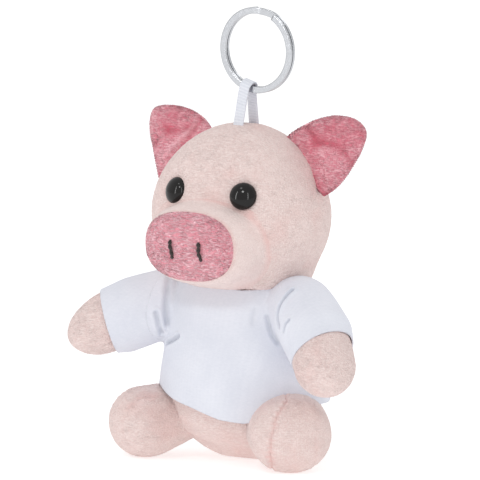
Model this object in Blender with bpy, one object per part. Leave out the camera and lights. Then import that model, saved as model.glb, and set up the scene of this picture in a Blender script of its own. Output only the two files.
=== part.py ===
"""Plush pig key hanger, sitting in a white jersey shirt under its ribbon and split ring.

The pig faces -Y, its left side is +X, and it sits on the floor z = 0 with the origin under its body.
Each stuffed piece is a sewn plush cover round its own filling. The smaller pieces are open bags whose
rims are sewn to the larger piece. All lengths are in metres.
"""

import math

import bmesh
import bpy
from mathutils import Matrix, Vector

# Cloth, clearances, facets and colours
GAP = 0.0003
PLUSH = 0.0008
JERSEY = 0.0005
FLAT_DEPTH = 0.0005
OVERRUN = 0.004
WELD = 0.000003
COVER_FACETS = 28
COVER_RINGS = 16
LINING_FACETS = 16
LINING_RINGS = 9
LIMB_FACETS = 18
LIMB_RINGS = 12
ROUND_FACETS = 16
SKIN_PINK = (0.76, 0.60, 0.55)
EAR_PINK = (0.62, 0.21, 0.26)
SNOUT_PINK = (0.63, 0.31, 0.33)
THREAD_BROWN = (0.06, 0.02, 0.02)
EYE_BLACK = (0.01, 0.009, 0.009)
WASHER_GREY = (0.8, 0.8, 0.8)
FILLING_WHITE = (0.85, 0.85, 0.83)
JERSEY_WHITE = (0.80, 0.81, 0.85)
RIBBON_WHITE = (0.82, 0.83, 0.86)
NICKEL = (0.62, 0.63, 0.65)
THREAD_FACETS = 8
THREAD_RINGS = 8

# Head
HEAD_HALF_WIDTH = 0.0267
HEAD_HALF_DEPTH = 0.0208
HEAD_HALF_HEIGHT = 0.0243
HEAD_CHEEK_SHARE = 0.09
HEAD_SQUARE_POWER = 2.2
JOWL_SHARE = 0.62
JOWL_POWER = 7
UNDERSIDE_STEPS = 360
CHIN_HEIGHT = 0.0493

# Muzzle and snout
MUZZLE_HALF_WIDTH = 0.0192
MUZZLE_HALF_HEIGHT = 0.0124
MUZZLE_REACH = 0.0068
MUZZLE_DROP = 0.0087
SNOUT_HALF_WIDTH = 0.0155
SNOUT_HALF_HEIGHT = 0.0101
SNOUT_DOME = 0.0024
MUZZLE_RUN_SHARES = (0.0, 0.4, 0.62, 0.8, 0.93, 1.0)
MUZZLE_SPREAD_SHARES = (0.7, 1.0, 0.82, 0.55, 0.24, 0.0)
MUZZLE_ROOT_SHARE = 0.55
SNOUT_RING_SHARES = (1.0, 0.86, 0.62, 0.34, 0.1)
NOSTRIL_SPACING = 0.0098
NOSTRIL_LENGTH = 0.0056
NOSTRIL_THREAD = 0.0009
NOSTRIL_DROP = 0.0006
NOSTRIL_SUNK_SHARE = 0.3

# Eyes: a dome on a shank that passes the cover and takes a lock washer behind it
EYE_RADIUS = 0.004
EYE_HEIGHT = 0.0025
DOME_STEPS = 6
EYE_SPACING = 0.0237
EYE_RISE = 0.0057
SHANK_RADIUS = 0.0011
SHANK_END = 0.0012
WASHER_RADIUS = 0.003
WASHER_THICKNESS = 0.0008

# Ears: two plush panels sewn round the edge and pinched at the root
EAR_HEIGHT = 0.0213
EAR_THICKNESS = 0.0044
EAR_PINCH_SHARE = 0.4
EAR_OPEN_SHARE = 0.5
EAR_CUP = 0.0012
EAR_SKEW = 0.0055
EAR_FULL_POWER = 1.73
EAR_LOBE_SHARE = 0.166
EAR_LEAN_SHARE = 0.305
EAR_SEAT = 0.0006
EAR_SINK = 0.005
EAR_TOP_AROUND = math.radians(27.9)
EAR_TOP_UP = math.radians(54.5)
EAR_LOW_AROUND = math.radians(1.0)
EAR_LOW_UP = math.radians(7.0)
EAR_RISE_ANGLE = math.radians(46.2)
EAR_SWEEP_ANGLE = math.radians(23.1)
EAR_FACETS = 16
EAR_RINGS = 12

# Body
BODY_HALF_WIDTH = 0.0224
BODY_HALF_DEPTH = 0.0182
BODY_PEAR_SHARE = 0.345
BODY_FULL_SHARE = 0.93
NECK_SINK = 0.0095

# Legs: half width, half height and length from the hip to the ball of the foot
LEG_HALF_WIDTH = 0.0120
LEG_HALF_HEIGHT = 0.0105
HIP_OUT_SHARE = 0.558
HIP_BACK = 0.002
LEG_LENGTH = 0.0205
LEG_SPREAD = math.radians(40.0)
HIP_SIZE_SHARE = 0.93

# Arms: the root is a ball that the arm turns on
ARM_ROOT_RADIUS = 0.0070
HAND_RADIUS = 0.0083
ARM_LENGTH = 0.0249
SHOULDER_AROUND = math.radians(-17.0)
SHOULDER_UP = math.radians(29.0)
LEFT_ARM_FORWARD = math.radians(33.0)
LEFT_ARM_DOWN = math.radians(36.0)
RIGHT_ARM_FORWARD = math.radians(38.5)
RIGHT_ARM_DOWN = math.radians(23.5)
STUFFING_HOLE_RADIUS = 0.0016
LIMB_END_SHARE = 0.334
LIMB_SWELL_SHARE = 0.03

# Tail
TAIL_HEIGHT = 0.007
TAIL_RADIUS = 0.0017
TAIL_CURL = 0.0026
TAIL_SINK = 0.003
TAIL_STEPS = 8
TAIL_TURN = math.radians(250.0)
TAIL_TIP_SHARE = 0.6

# Shirt
SHIRT_EASE = 0.0018
HEM_HEIGHT = 0.0127
HEM_SIDE_RISE = 0.0055
COLLAR_RISE = 0.0014
COLLAR_SIDE_RISE = 0.0036
COLLAR_BACK_RISE = 0.0028
COLLAR_CLEARANCE = 0.0007
FOLD_DEPTH = 0.0007
FOLD_COUNT = 9
SHIRT_FACETS = 44
SHIRT_WIDTH_SHARES = (0.985, 0.99, 0.99, 0.985, 0.975, 0.95, 0.89, 0.78)
SHIRT_DEPTH_SHARES = (0.99, 1.0, 0.99, 0.965, 0.925, 0.87, 0.79, 0.68)
SHIRT_HEIGHT_SHARES = (0.0, 0.1, 0.28, 0.46, 0.64, 0.79, 0.91, 1.0)
ARMHOLE_EASE = 0.0022
CUFF_EASE = 0.0006
CUFF_SHARE = 0.78
SLEEVE_ROOT_SHARE = -0.25
SLEEVE_STEPS = 7

# Ribbon that stands out of the crown and holds the ring
RIBBON_WIDTH = 0.0034
RIBBON_THICKNESS = 0.0005
RIBBON_REACH = 0.0103
RIBBON_SHIFT = 0.0014
RIBBON_FRONT = 0.0033
RIBBON_BACK = 0.0048
RIBBON_SINK = 0.0012
RIBBON_TUCK = 0.0016
BIGHT_DROP = 0.0012
BIGHT_STEPS = 10
TUCK_STEPS = 8
LEG_STEPS = 3

# Split ring: flat wire wound twice, stepping over from one turn to the other at the top
RING_DIAMETER = 0.025
WIRE_DEPTH = 0.0019
WIRE_THICKNESS = 0.0008
TURN_GAP = 0.00044
WIRE_EDGE_SHARE = 0.2
RING_LEAN = math.radians(16.0)
RING_JOINT = math.radians(14.0)
RING_STEP = math.radians(26.0)
RING_END_GAP = math.radians(4.0)
RING_FACETS = 36

HEAD_CENTRE = Vector((0, 0, CHIN_HEIGHT + HEAD_HALF_HEIGHT))
BODY_TOP = CHIN_HEIGHT + NECK_SINK
BODY_HALF_HEIGHT = (BODY_TOP + FLAT_DEPTH) / 2
BODY_CENTRE = Vector((0, 0, BODY_HALF_HEIGHT - FLAT_DEPTH))
FOOT_LEVEL = LEG_HALF_HEIGHT - FLAT_DEPTH


def clear_scene():
    for thing in list(bpy.data.objects):
        bpy.data.objects.remove(thing, do_unlink=True)


def cloth(name, colour, roughness=0.95, metallic=0.0):
    """One Principled material."""
    material = bpy.data.materials.new(name)
    material.use_nodes = True
    shader = material.node_tree.nodes["Principled BSDF"]
    shader.inputs["Base Color"].default_value = (*colour, 1.0)
    shader.inputs["Roughness"].default_value = roughness
    shader.inputs["Metallic"].default_value = metallic
    return material


def piece(name, bm, material, origin=None):
    """Make an object of a mesh that is given in world space, with its own origin."""
    start = origin if origin else Vector()
    bmesh.ops.translate(bm, verts=bm.verts, vec=-start)
    bmesh.ops.recalc_face_normals(bm, faces=bm.faces)
    mesh = bpy.data.meshes.new(name)
    bm.to_mesh(mesh)
    bm.free()
    mesh.shade_smooth()
    thing = bpy.data.objects.new(name, mesh)
    thing.location = start
    bpy.context.collection.objects.link(thing)
    if material:
        thing.data.materials.append(material)
    return thing


def cutter(name, bm):
    """A hidden solid that only cuts."""
    tool = piece(name, bm, None)
    tool.hide_render = True
    tool.display_type = "WIRE"
    return tool


def cut(thing, *tools):
    for tool in tools:
        step = thing.modifiers.new("less " + tool.name, "BOOLEAN")
        step.operation = "DIFFERENCE"
        step.solver = "EXACT"
        step.object = tool
    return thing


def mirrored(bm):
    """Turn a left-hand mesh into its right-hand twin."""
    bmesh.ops.scale(bm, verts=bm.verts, vec=(-1, 1, 1))
    bmesh.ops.reverse_faces(bm, faces=bm.faces)
    return bm


def mirror_point(point):
    return Vector((-point.x, point.y, point.z))


def unit(around, up):
    """Unit vector at an angle around Z from +X, and an angle up."""
    level = math.cos(up)
    return Vector((level * math.cos(around), level * math.sin(around), math.sin(up)))


ARM_AIMS = {"left": unit(-LEFT_ARM_FORWARD, -LEFT_ARM_DOWN),
            "right": unit(-RIGHT_ARM_FORWARD, -RIGHT_ARM_DOWN)}


def swollen(place, facets, rings, grow=0.0, floor=None):
    """A unit sphere moved point by point into a form, grown along its normals, cut flat at the floor."""
    bm = bmesh.new()
    bmesh.ops.create_uvsphere(bm, u_segments=facets, v_segments=rings, radius=1)
    for vert in bm.verts:
        vert.co = place(vert.co)
    bmesh.ops.recalc_face_normals(bm, faces=bm.faces)
    bm.normal_update()
    shifts = [(vert, vert.normal * grow) for vert in bm.verts]
    for vert, shift in shifts:
        vert.co += shift
    if floor is not None:
        everything = list(bm.verts) + list(bm.edges) + list(bm.faces)
        level = Vector((0, 0, floor))
        bmesh.ops.bisect_plane(bm, geom=everything, plane_co=level, plane_no=(0, 0, -1), clear_outer=True)
        bmesh.ops.holes_fill(bm, edges=bm.edges, sides=0)
    return bm


def skin(sections, closed=False):
    """Join rings of points in turn; cap the ends, or join the last ring to the first."""
    bm = bmesh.new()
    rings = [[bm.verts.new(point) for point in points] for points in sections]
    followers = rings[1:] + rings[:1] if closed else rings[1:]
    for ring, follower in zip(rings, followers):
        for corners in zip(ring, ring[1:] + ring[:1], follower[1:] + follower[:1], follower):
            bm.faces.new(corners)
    if not closed:
        bmesh.ops.holes_fill(bm, edges=bm.edges, sides=0)
    bmesh.ops.recalc_face_normals(bm, faces=bm.faces)
    return bm


def turned(profile, facets, origin, direction):
    """Spin a profile of (radius, height) points about an axis."""
    bm = bmesh.new()
    verts = [bm.verts.new((radius, 0, height)) for radius, height in profile]
    edges = [bm.edges.new(pair) for pair in zip(verts, verts[1:])]
    if profile[0][0] and profile[-1][0]:
        edges.append(bm.edges.new((verts[-1], verts[0])))
    bmesh.ops.spin(bm, geom=verts + edges, axis=(0, 0, 1), cent=(0, 0, 0), dvec=(0, 0, 0),
                   angle=math.tau, steps=facets, use_merge=True, use_duplicate=False)
    bmesh.ops.remove_doubles(bm, verts=bm.verts, dist=WELD)
    turn = direction.to_track_quat("Z", "Y").to_matrix().to_4x4()
    bmesh.ops.transform(bm, matrix=Matrix.Translation(origin) @ turn, verts=bm.verts)
    bmesh.ops.recalc_face_normals(bm, faces=bm.faces)
    return bm


def blend_share(value, start, end):
    """Smooth share of the way from start to end."""
    share = min(max((value - start) / (end - start), 0), 1)
    return share * share * (3 - 2 * share)


def head_full(high):
    """How much fuller than a ball the head is at a height from -1 to 1."""
    return (1 - HEAD_CHEEK_SHARE * high) * (1 + JOWL_SHARE * max(-high, 0) ** JOWL_POWER)


def head_place(point):
    """Egg-shaped head, full at the cheeks and jowls and a little square seen from above."""
    level = math.hypot(point.x, point.y)
    power = HEAD_SQUARE_POWER
    square = abs(point.x) ** power + abs(point.y) ** power
    full = head_full(point.z) * (level / square ** (1 / power) if level else 1)
    width = HEAD_HALF_WIDTH * full
    depth = HEAD_HALF_DEPTH * full
    return HEAD_CENTRE + Vector((point.x * width, point.y * depth, point.z * HEAD_HALF_HEIGHT))


def head_underside(across, ahead):
    """How high the head's lower side stands over a place on the floor, in small steps up from the chin."""
    power = HEAD_SQUARE_POWER
    reach = (abs(across / HEAD_HALF_WIDTH) ** power + abs(ahead / HEAD_HALF_DEPTH) ** power) ** (1 / power)
    for step in range(UNDERSIDE_STEPS):
        up = math.pi / 2 * (step / UNDERSIDE_STEPS - 1)
        if head_full(math.sin(up)) * math.cos(up) >= reach:
            break
    return HEAD_CENTRE.z + HEAD_HALF_HEIGHT * math.sin(up)


def body_place(point):
    """Pear-shaped body, wide at the seat and drawn in at the neck."""
    level = math.hypot(point.x, point.y)
    full = level ** BODY_FULL_SHARE / level if level else 0
    full *= 1 - BODY_PEAR_SHARE * point.z
    across = Vector((point.x * BODY_HALF_WIDTH, point.y * BODY_HALF_DEPTH, 0))
    return BODY_CENTRE + across * full + Vector((0, 0, point.z * BODY_HALF_HEIGHT))


def surface(place, around, up):
    """A point on a form and its outward normal."""
    nudge = math.radians(1)
    point = place(unit(around, up))
    along = place(unit(around + nudge, up)) - place(unit(around - nudge, up))
    rise = place(unit(around, up + nudge)) - place(unit(around, up - nudge))
    return point, along.cross(rise).normalized()


def limb_place(start, end, start_size, end_size):
    """A limb with a half ball at each end and a swollen run between; sizes are across, up and along."""
    turn = (end - start).to_track_quat("Z", "Y")

    def place(point):
        reach = math.asin(max(min(point.z, 1), -1)) / (math.pi / 2)
        share = min(max((reach / LIMB_END_SHARE + 1) / 2, 0), 1)
        tip = max(abs(reach) - LIMB_END_SHARE, 0) / (1 - LIMB_END_SHARE)
        angle = math.copysign(tip * math.pi / 2, reach)
        level = math.hypot(point.x, point.y)
        wide = math.cos(angle) / level if level else 0
        wide *= 1 + LIMB_SWELL_SHARE * math.sin(math.pi * share)
        size = start_size.lerp(end_size, share)
        across = Vector((point.x * wide * size.x, point.y * wide * size.y, math.sin(angle) * size.z))
        return start.lerp(end, share) + turn @ across

    return place


def head_form(grow, facets=COVER_FACETS, rings=COVER_RINGS):
    return swollen(head_place, facets, rings, grow)


def body_form(grow, facets=COVER_FACETS, rings=COVER_RINGS, floor=None):
    return swollen(body_place, facets, rings, grow, floor)


def leg_form(grow, facets=LIMB_FACETS, rings=LIMB_RINGS, floor=None):
    """Left leg: short and wide, from inside the hip to the ball of the foot."""
    hip = Vector((BODY_HALF_WIDTH * HIP_OUT_SHARE, HIP_BACK, FOOT_LEVEL))
    foot = hip + LEG_LENGTH * Vector((math.sin(LEG_SPREAD), -math.cos(LEG_SPREAD), 0))
    foot_size = Vector((LEG_HALF_WIDTH, LEG_HALF_HEIGHT, LEG_HALF_HEIGHT))
    place = limb_place(hip, foot, foot_size * HIP_SIZE_SHARE, foot_size)
    return swollen(place, facets, rings, grow, floor)


def shoulder():
    """Centre of the left arm's root ball, resting against the body."""
    point, normal = surface(body_place, SHOULDER_AROUND, SHOULDER_UP)
    return point + normal * (ARM_ROOT_RADIUS + GAP)


def arm_form(aim, grow, facets=LIMB_FACETS, rings=LIMB_RINGS):
    """An arm as on the left side, from its root ball to the rounded hand."""
    root = shoulder()
    hand = root + aim * ARM_LENGTH
    root_size = Vector((1, 1, 1)) * ARM_ROOT_RADIUS
    hand_size = Vector((1, 1, 1)) * HAND_RADIUS
    return swollen(limb_place(root, hand, root_size, hand_size), facets, rings, grow)


def oval(centre, half_width, half_height, facets):
    """Upright oval ring in a plane across Y."""
    angles = [math.tau * step / facets for step in range(facets)]
    return [centre + Vector((half_width * math.cos(a), 0, half_height * math.sin(a))) for a in angles]


SNOUT_FRONT = -(HEAD_HALF_DEPTH + MUZZLE_REACH)
MUZZLE_BACK = -HEAD_HALF_DEPTH * MUZZLE_ROOT_SHARE
MUZZLE_LEVEL = HEAD_CENTRE.z - MUZZLE_DROP


def muzzle_rings(inset, stop):
    """Ovals of the muzzle's side, from inside the head to the given front."""
    rings = []
    for run, spread in zip(MUZZLE_RUN_SHARES, MUZZLE_SPREAD_SHARES):
        centre = Vector((0, MUZZLE_BACK + (stop - MUZZLE_BACK) * run, MUZZLE_LEVEL))
        width = SNOUT_HALF_WIDTH + (MUZZLE_HALF_WIDTH - SNOUT_HALF_WIDTH) * spread - inset
        height = SNOUT_HALF_HEIGHT + (MUZZLE_HALF_HEIGHT - SNOUT_HALF_HEIGHT) * spread - inset
        rings.append(oval(centre, width, height, COVER_FACETS))
    return rings


def snout_rings(back, inset):
    """Ovals of a shallow dome in front of the muzzle, from the rim to the middle."""
    rings = []
    for share in SNOUT_RING_SHARES:
        forward = SNOUT_DOME * (1 - share * share)
        centre = Vector((0, back - forward, MUZZLE_LEVEL))
        width = (SNOUT_HALF_WIDTH - inset) * share
        height = (SNOUT_HALF_HEIGHT - inset) * share
        rings.append(oval(centre, width, height, COVER_FACETS))
    return rings


def nostril_form(grow):
    """One stitch of thread, upright on the left of the snout."""
    share = NOSTRIL_SPACING / 2 / SNOUT_HALF_WIDTH
    face = SNOUT_FRONT - GAP - PLUSH - SNOUT_DOME * (1 - share * share)
    forward = NOSTRIL_THREAD / 2 - NOSTRIL_THREAD * NOSTRIL_SUNK_SHARE
    middle = Vector((NOSTRIL_SPACING / 2, face - forward, MUZZLE_LEVEL - NOSTRIL_DROP))
    reach = Vector((0, 0, (NOSTRIL_LENGTH - NOSTRIL_THREAD) / 2))
    size = Vector((1, 1, 1)) * NOSTRIL_THREAD / 2
    place = limb_place(middle - reach, middle + reach, size, size)
    return swollen(place, THREAD_FACETS, THREAD_RINGS, grow)


def eye_seat():
    """Where the left eye's axis meets the head, and the axis."""
    up = math.asin(EYE_RISE / HEAD_HALF_HEIGHT)
    out = EYE_SPACING / 2 / (HEAD_HALF_WIDTH * head_full(math.sin(up)) * math.cos(up))
    return surface(head_place, -math.acos(out), up)


def eye_profile():
    """Half section of the dome and its shank, from the crown to the tip of the shank."""
    arc = [math.pi / 2 * (1 - step / DOME_STEPS) for step in range(DOME_STEPS + 1)]
    dome = [(EYE_RADIUS * math.cos(a), GAP + EYE_HEIGHT * math.sin(a)) for a in arc]
    dome[0] = (0, dome[0][1])
    tip = -(PLUSH + GAP + WASHER_THICKNESS + SHANK_END)
    return dome + [(SHANK_RADIUS, GAP), (SHANK_RADIUS, tip), (0, tip)]


def ear_frame():
    """Root middle, chord, front and blade directions of the left ear, and its half chord."""
    top = head_place(unit(EAR_TOP_AROUND, EAR_TOP_UP))
    low = head_place(unit(EAR_LOW_AROUND, EAR_LOW_UP))
    blade = unit(EAR_SWEEP_ANGLE, EAR_RISE_ANGLE)
    front = blade.cross(top - low).normalized()
    chord = front.cross(blade)
    return (top + low) / 2, chord, front, blade, (top - low).length / 2


def ear_form(side):
    """One panel of the left ear: the front one on side 1, the back one on side -1."""
    middle, chord, front, blade, half_chord = ear_frame()

    def place(point):
        up = abs(point.z)
        out = max(point.y * side, 0)
        swell = EAR_PINCH_SHARE + (1 - EAR_PINCH_SHARE) * blend_share(point.z, 0, EAR_OPEN_SHARE)
        thick = side * (out * EAR_THICKNESS / 2 * swell + GAP / 2)
        level = math.hypot(point.x, point.y)
        full = (1 - up ** EAR_FULL_POWER) ** (1 / EAR_FULL_POWER) / level if level * up else 1
        across = point.x * full
        height = EAR_HEIGHT if point.z > 0 else EAR_SINK
        if point.x < 0:
            across *= 1 + EAR_LOBE_SHARE * math.sin(math.pi * up)
        height *= 1 + EAR_LEAN_SHARE * across
        lean = chord * (across * half_chord - EAR_SKEW * up * up)
        return middle + lean + front * (thick + EAR_CUP * across * across) + blade * point.z * height

    return swollen(place, EAR_FACETS, EAR_RINGS)


def shirt_ring(step, inset):
    """One ring of the shirt, with soft folds that run down from the armholes."""
    share = SHIRT_HEIGHT_SHARES[step]
    widest = 1 + BODY_PEAR_SHARE / 2
    width = BODY_HALF_WIDTH * widest * math.sqrt(BODY_FULL_SHARE) + SHIRT_EASE
    depth = BODY_HALF_DEPTH * widest * math.sqrt(BODY_FULL_SHARE) + SHIRT_EASE
    ring = []
    for facet in range(SHIRT_FACETS):
        angle = math.tau * facet / SHIRT_FACETS
        across = math.cos(angle)
        ahead = math.sin(angle)
        low = HEM_HEIGHT + HEM_SIDE_RISE * across * across
        rise = COLLAR_BACK_RISE if ahead > 0 else 0
        high = CHIN_HEIGHT + COLLAR_RISE + COLLAR_SIDE_RISE * across * across + rise * ahead * ahead
        under = head_underside(across * (width * SHIRT_WIDTH_SHARES[-1] - JERSEY),
                               ahead * (depth * SHIRT_DEPTH_SHARES[-1] - JERSEY))
        high = min(high, under - COLLAR_CLEARANCE)
        flute = 1 + math.cos(FOLD_COUNT * 2 * angle)
        flute *= FOLD_DEPTH * math.sin(math.pi * share) * abs(across)
        reach = Vector((across * (width * SHIRT_WIDTH_SHARES[step] - inset + flute),
                        ahead * (depth * SHIRT_DEPTH_SHARES[step] - inset + flute), 0))
        ring.append(reach + Vector((0, 0, low + (high - low) * share)))
    return ring


def sleeve_ring(aim, share, outer, grow):
    """A ring of a sleeve round the arm; the share runs from the shoulder to the hand."""
    turn = aim.to_track_quat("Z", "Y")
    radius = ARM_ROOT_RADIUS + (HAND_RADIUS - ARM_ROOT_RADIUS) * share
    radius *= 1 + LIMB_SWELL_SHARE * math.sin(math.pi * share)
    radius += GAP + ARMHOLE_EASE + (CUFF_EASE - ARMHOLE_EASE) * share + outer * JERSEY + grow
    centre = shoulder() + aim * ARM_LENGTH * share
    angles = [math.tau * facet / ROUND_FACETS for facet in range(ROUND_FACETS)]
    return [centre + turn @ Vector((radius * math.cos(a), radius * math.sin(a), 0)) for a in angles]


def sleeve_shares(end):
    """Shares along the arm from the root of the sleeve to its cuff."""
    span = end - SLEEVE_ROOT_SHARE
    return [SLEEVE_ROOT_SHARE + span * step / (SLEEVE_STEPS - 1) for step in range(SLEEVE_STEPS)]


RING_RADIUS = (RING_DIAMETER - WIRE_DEPTH) / 2
TURN_PITCH = WIRE_THICKNESS + TURN_GAP
HANG_POINT = Vector((RIBBON_SHIFT, 0, HEAD_CENTRE.z + HEAD_HALF_HEIGHT + RIBBON_REACH))
RING_UP = Vector((math.sin(RING_LEAN), 0, math.cos(RING_LEAN)))
RING_ALONG = Vector((math.cos(RING_LEAN), 0, -math.sin(RING_LEAN)))
RING_CENTRE = HANG_POINT + RING_UP * RING_RADIUS
FORWARD = Vector((0, -1, 0))
WIRE_SAG = RING_RADIUS - math.sqrt(RING_RADIUS ** 2 - (RIBBON_WIDTH / 2) ** 2)
BIGHT_RADIUS = math.hypot(WIRE_DEPTH / 2, (TURN_PITCH + WIRE_THICKNESS) / 2) + WIRE_SAG + GAP


def strap(points, wides, grow=0.0):
    """Flat ribbon along points; each has a direction for the ribbon's width."""
    half_width = RIBBON_WIDTH / 2 + grow
    half_thick = RIBBON_THICKNESS / 2 + grow
    sections = []
    for step, (point, wide) in enumerate(zip(points, wides)):
        tangent = (points[min(step + 1, len(points) - 1)] - points[max(step - 1, 0)]).normalized()
        out = tangent.cross(wide).normalized()
        corners = ((1, 1), (-1, 1), (-1, -1), (1, -1))
        sections.append([point + wide * half_width * a + out * half_thick * b for a, b in corners])
    return skin(sections)


def bight_points():
    """The ribbon's turn over the ring wire, front to back."""
    middle = BIGHT_RADIUS + RIBBON_THICKNESS / 2
    foot = RING_UP * -BIGHT_DROP
    points = [HANG_POINT + FORWARD * middle + foot]
    for step in range(BIGHT_STEPS + 1):
        angle = math.pi * step / BIGHT_STEPS
        points.append(HANG_POINT + FORWARD * middle * math.cos(angle) + RING_UP * middle * math.sin(angle))
    points.append(HANG_POINT - FORWARD * middle + foot)
    return points


def ribbon_legs(grow=0.0):
    """Both legs of the ribbon, joined in a tuck inside the head."""
    middle = BIGHT_RADIUS + RIBBON_THICKNESS / 2
    top = HANG_POINT - RING_UP * (BIGHT_DROP + GAP)
    tuck_level = HEAD_CENTRE.z + HEAD_HALF_HEIGHT - RIBBON_SINK
    tuck_middle = Vector((0, (RIBBON_BACK - RIBBON_FRONT) / 2, tuck_level))
    tuck_half = (RIBBON_BACK + RIBBON_FRONT) / 2
    points = []
    wides = []
    arc = [math.pi * step / TUCK_STEPS for step in range(TUCK_STEPS + 1)]
    tuck = [tuck_middle + Vector((0, -tuck_half * math.cos(a), -RIBBON_TUCK * math.sin(a))) for a in arc]
    front = top + FORWARD * middle
    back = top - FORWARD * middle
    across = Vector((1, 0, 0))
    for step in range(LEG_STEPS):
        points.append(front.lerp(tuck[0], step / LEG_STEPS))
        wides.append(RING_ALONG.lerp(across, step / LEG_STEPS).normalized())
    points += tuck
    wides += [across] * len(tuck)
    for step in reversed(range(LEG_STEPS)):
        points.append(back.lerp(tuck[-1], step / LEG_STEPS))
        wides.append(RING_ALONG.lerp(across, step / LEG_STEPS).normalized())
    return strap(points, wides, grow)


def wire_sections():
    """Sections of the ring's wire: two turns side by side with one step over at the top."""
    facet = math.tau / RING_FACETS
    count = int((2 * math.tau - RING_STEP - RING_END_GAP) / facet)
    edge = WIRE_THICKNESS * WIRE_EDGE_SHARE
    half_deep = WIRE_DEPTH / 2
    half_thick = WIRE_THICKNESS / 2
    corners = []
    for deep, thick in ((1, 1), (-1, 1), (-1, -1), (1, -1)):
        first = (deep * half_deep, thick * (half_thick - edge))
        second = (deep * (half_deep - edge), thick * half_thick)
        corners += [first, second] if deep == thick else [second, first]
    sections = []
    for step in range(count + 1):
        travel = facet * step
        angle = RING_JOINT + travel
        over = blend_share(travel, math.tau - RING_STEP, math.tau)
        outward = RING_UP * math.cos(angle) + RING_ALONG * math.sin(angle)
        middle = RING_CENTRE + FORWARD * TURN_PITCH * (1 - 2 * over) / 2
        sections.append([middle + outward * (RING_RADIUS + deep) + FORWARD * thick
                         for deep, thick in corners])
    return sections


def least_turn_gap(sections):
    """Least distance between points of the wire that lie more than half a turn apart."""
    apart = RING_FACETS // 2
    least = RING_DIAMETER
    for step, section in enumerate(sections):
        for other in sections[step + apart:]:
            if (other[0] - section[0]).length < WIRE_DEPTH + TURN_PITCH:
                least = min(least, min((a - b).length for a in section for b in other))
    return least


def build_ring():
    """The legs stand out of the crown, and the turn of the ribbon goes through the ring."""
    crown = Vector((0, 0, HEAD_CENTRE.z + HEAD_HALF_HEIGHT))
    piece("ribbon_legs", ribbon_legs(), cloth("ribbon_legs", RIBBON_WHITE, 0.7), crown)
    points = bight_points()
    turn = strap(points, [RING_ALONG] * len(points))
    piece("ribbon_bight", turn, cloth("ribbon_bight", RIBBON_WHITE, 0.7), HANG_POINT)
    sections = wire_sections()
    print("least gap between the ring's turns, mm:", round(least_turn_gap(sections) * 1000, 3))
    piece("split_ring", skin(sections), cloth("split_ring", NICKEL, 0.3, 1.0), RING_CENTRE)


def build_head():
    """Closed cover and filling, with holes for the eye shanks and a slot for the ribbon."""
    ribbon_cut = cutter("cut_ribbon", ribbon_legs(GAP))
    lining_cut = cutter("cut_head_lining", head_form(-PLUSH, LINING_FACETS, LINING_RINGS))
    head = piece("head_cover", head_form(0), cloth("head_cover", SKIN_PINK))
    core = head_form(-PLUSH - GAP, LINING_FACETS, LINING_RINGS)
    filling = piece("head_filling", core, cloth("head_filling", FILLING_WHITE))
    cut(head, lining_cut, ribbon_cut)
    cut(filling, ribbon_cut)
    hole = SHANK_RADIUS + GAP
    top = -(PLUSH + GAP)
    under = top - WASHER_THICKNESS
    end = under - SHANK_END - GAP
    room = WASHER_RADIUS + GAP
    flat = [(hole, top), (WASHER_RADIUS, top), (WASHER_RADIUS, under), (hole, under)]
    pocket = [(0, OVERRUN), (hole, OVERRUN), (hole, -PLUSH), (room, -PLUSH), (room, under - GAP),
              (hole, under - GAP), (hole, end), (0, end)]
    seat, axis = eye_seat()
    for side in ("left", "right"):
        if side == "right":
            seat = mirror_point(seat)
            axis = mirror_point(axis)
        dome = turned(eye_profile(), ROUND_FACETS, seat, axis)
        piece("eye_" + side, dome, cloth("eye_" + side, EYE_BLACK, 0.08), seat)
        washer = turned(flat, ROUND_FACETS, seat, axis)
        piece("eye_washer_" + side, washer, cloth("eye_washer_" + side, WASHER_GREY, 0.4), seat)
        eye_cut = cutter("cut_eye_" + side, turned(pocket, ROUND_FACETS, seat, axis))
        cut(head, eye_cut)
        cut(filling, eye_cut)


def build_muzzle(head_cut):
    """A band sewn to the face, closed by the snout disc with two stitched nostrils."""
    band = muzzle_rings(0, SNOUT_FRONT) + muzzle_rings(PLUSH, SNOUT_FRONT)[::-1]
    cut(piece("muzzle_band", skin(band, closed=True), cloth("muzzle_band", SKIN_PINK)), head_cut)
    packed = muzzle_rings(PLUSH + GAP, SNOUT_FRONT) + snout_rings(SNOUT_FRONT, PLUSH + GAP)[1:]
    cut(piece("muzzle_filling", skin(packed), cloth("muzzle_filling", FILLING_WHITE)), head_cut)
    disc = snout_rings(SNOUT_FRONT - GAP, 0)[::-1] + snout_rings(SNOUT_FRONT - GAP - PLUSH, 0)
    snout = piece("snout_disc", skin(disc), cloth("snout_disc", SNOUT_PINK))
    stitches = {"left": (nostril_form(0), nostril_form(GAP)),
                "right": (mirrored(nostril_form(0)), mirrored(nostril_form(GAP)))}
    for side, (stitch, dent) in stitches.items():
        piece("nostril_" + side, stitch, cloth("nostril_" + side, THREAD_BROWN, 0.8))
        cut(snout, cutter("cut_nostril_" + side, dent))


def build_ears():
    """Each ear's two panels turn with the ear about its root chord."""
    ear_room = cutter("cut_ear_seat", head_form(EAR_SEAT))
    middle = ear_frame()[0]
    for name, layer in (("front", 1), ("back", -1)):
        left = piece("ear_left_" + name, ear_form(layer), cloth("ear_left_" + name, EAR_PINK), middle)
        right = piece("ear_right_" + name, mirrored(ear_form(layer)), cloth("ear_right_" + name, EAR_PINK),
                      mirror_point(middle))
        cut(left, ear_room)
        cut(right, ear_room)


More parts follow.
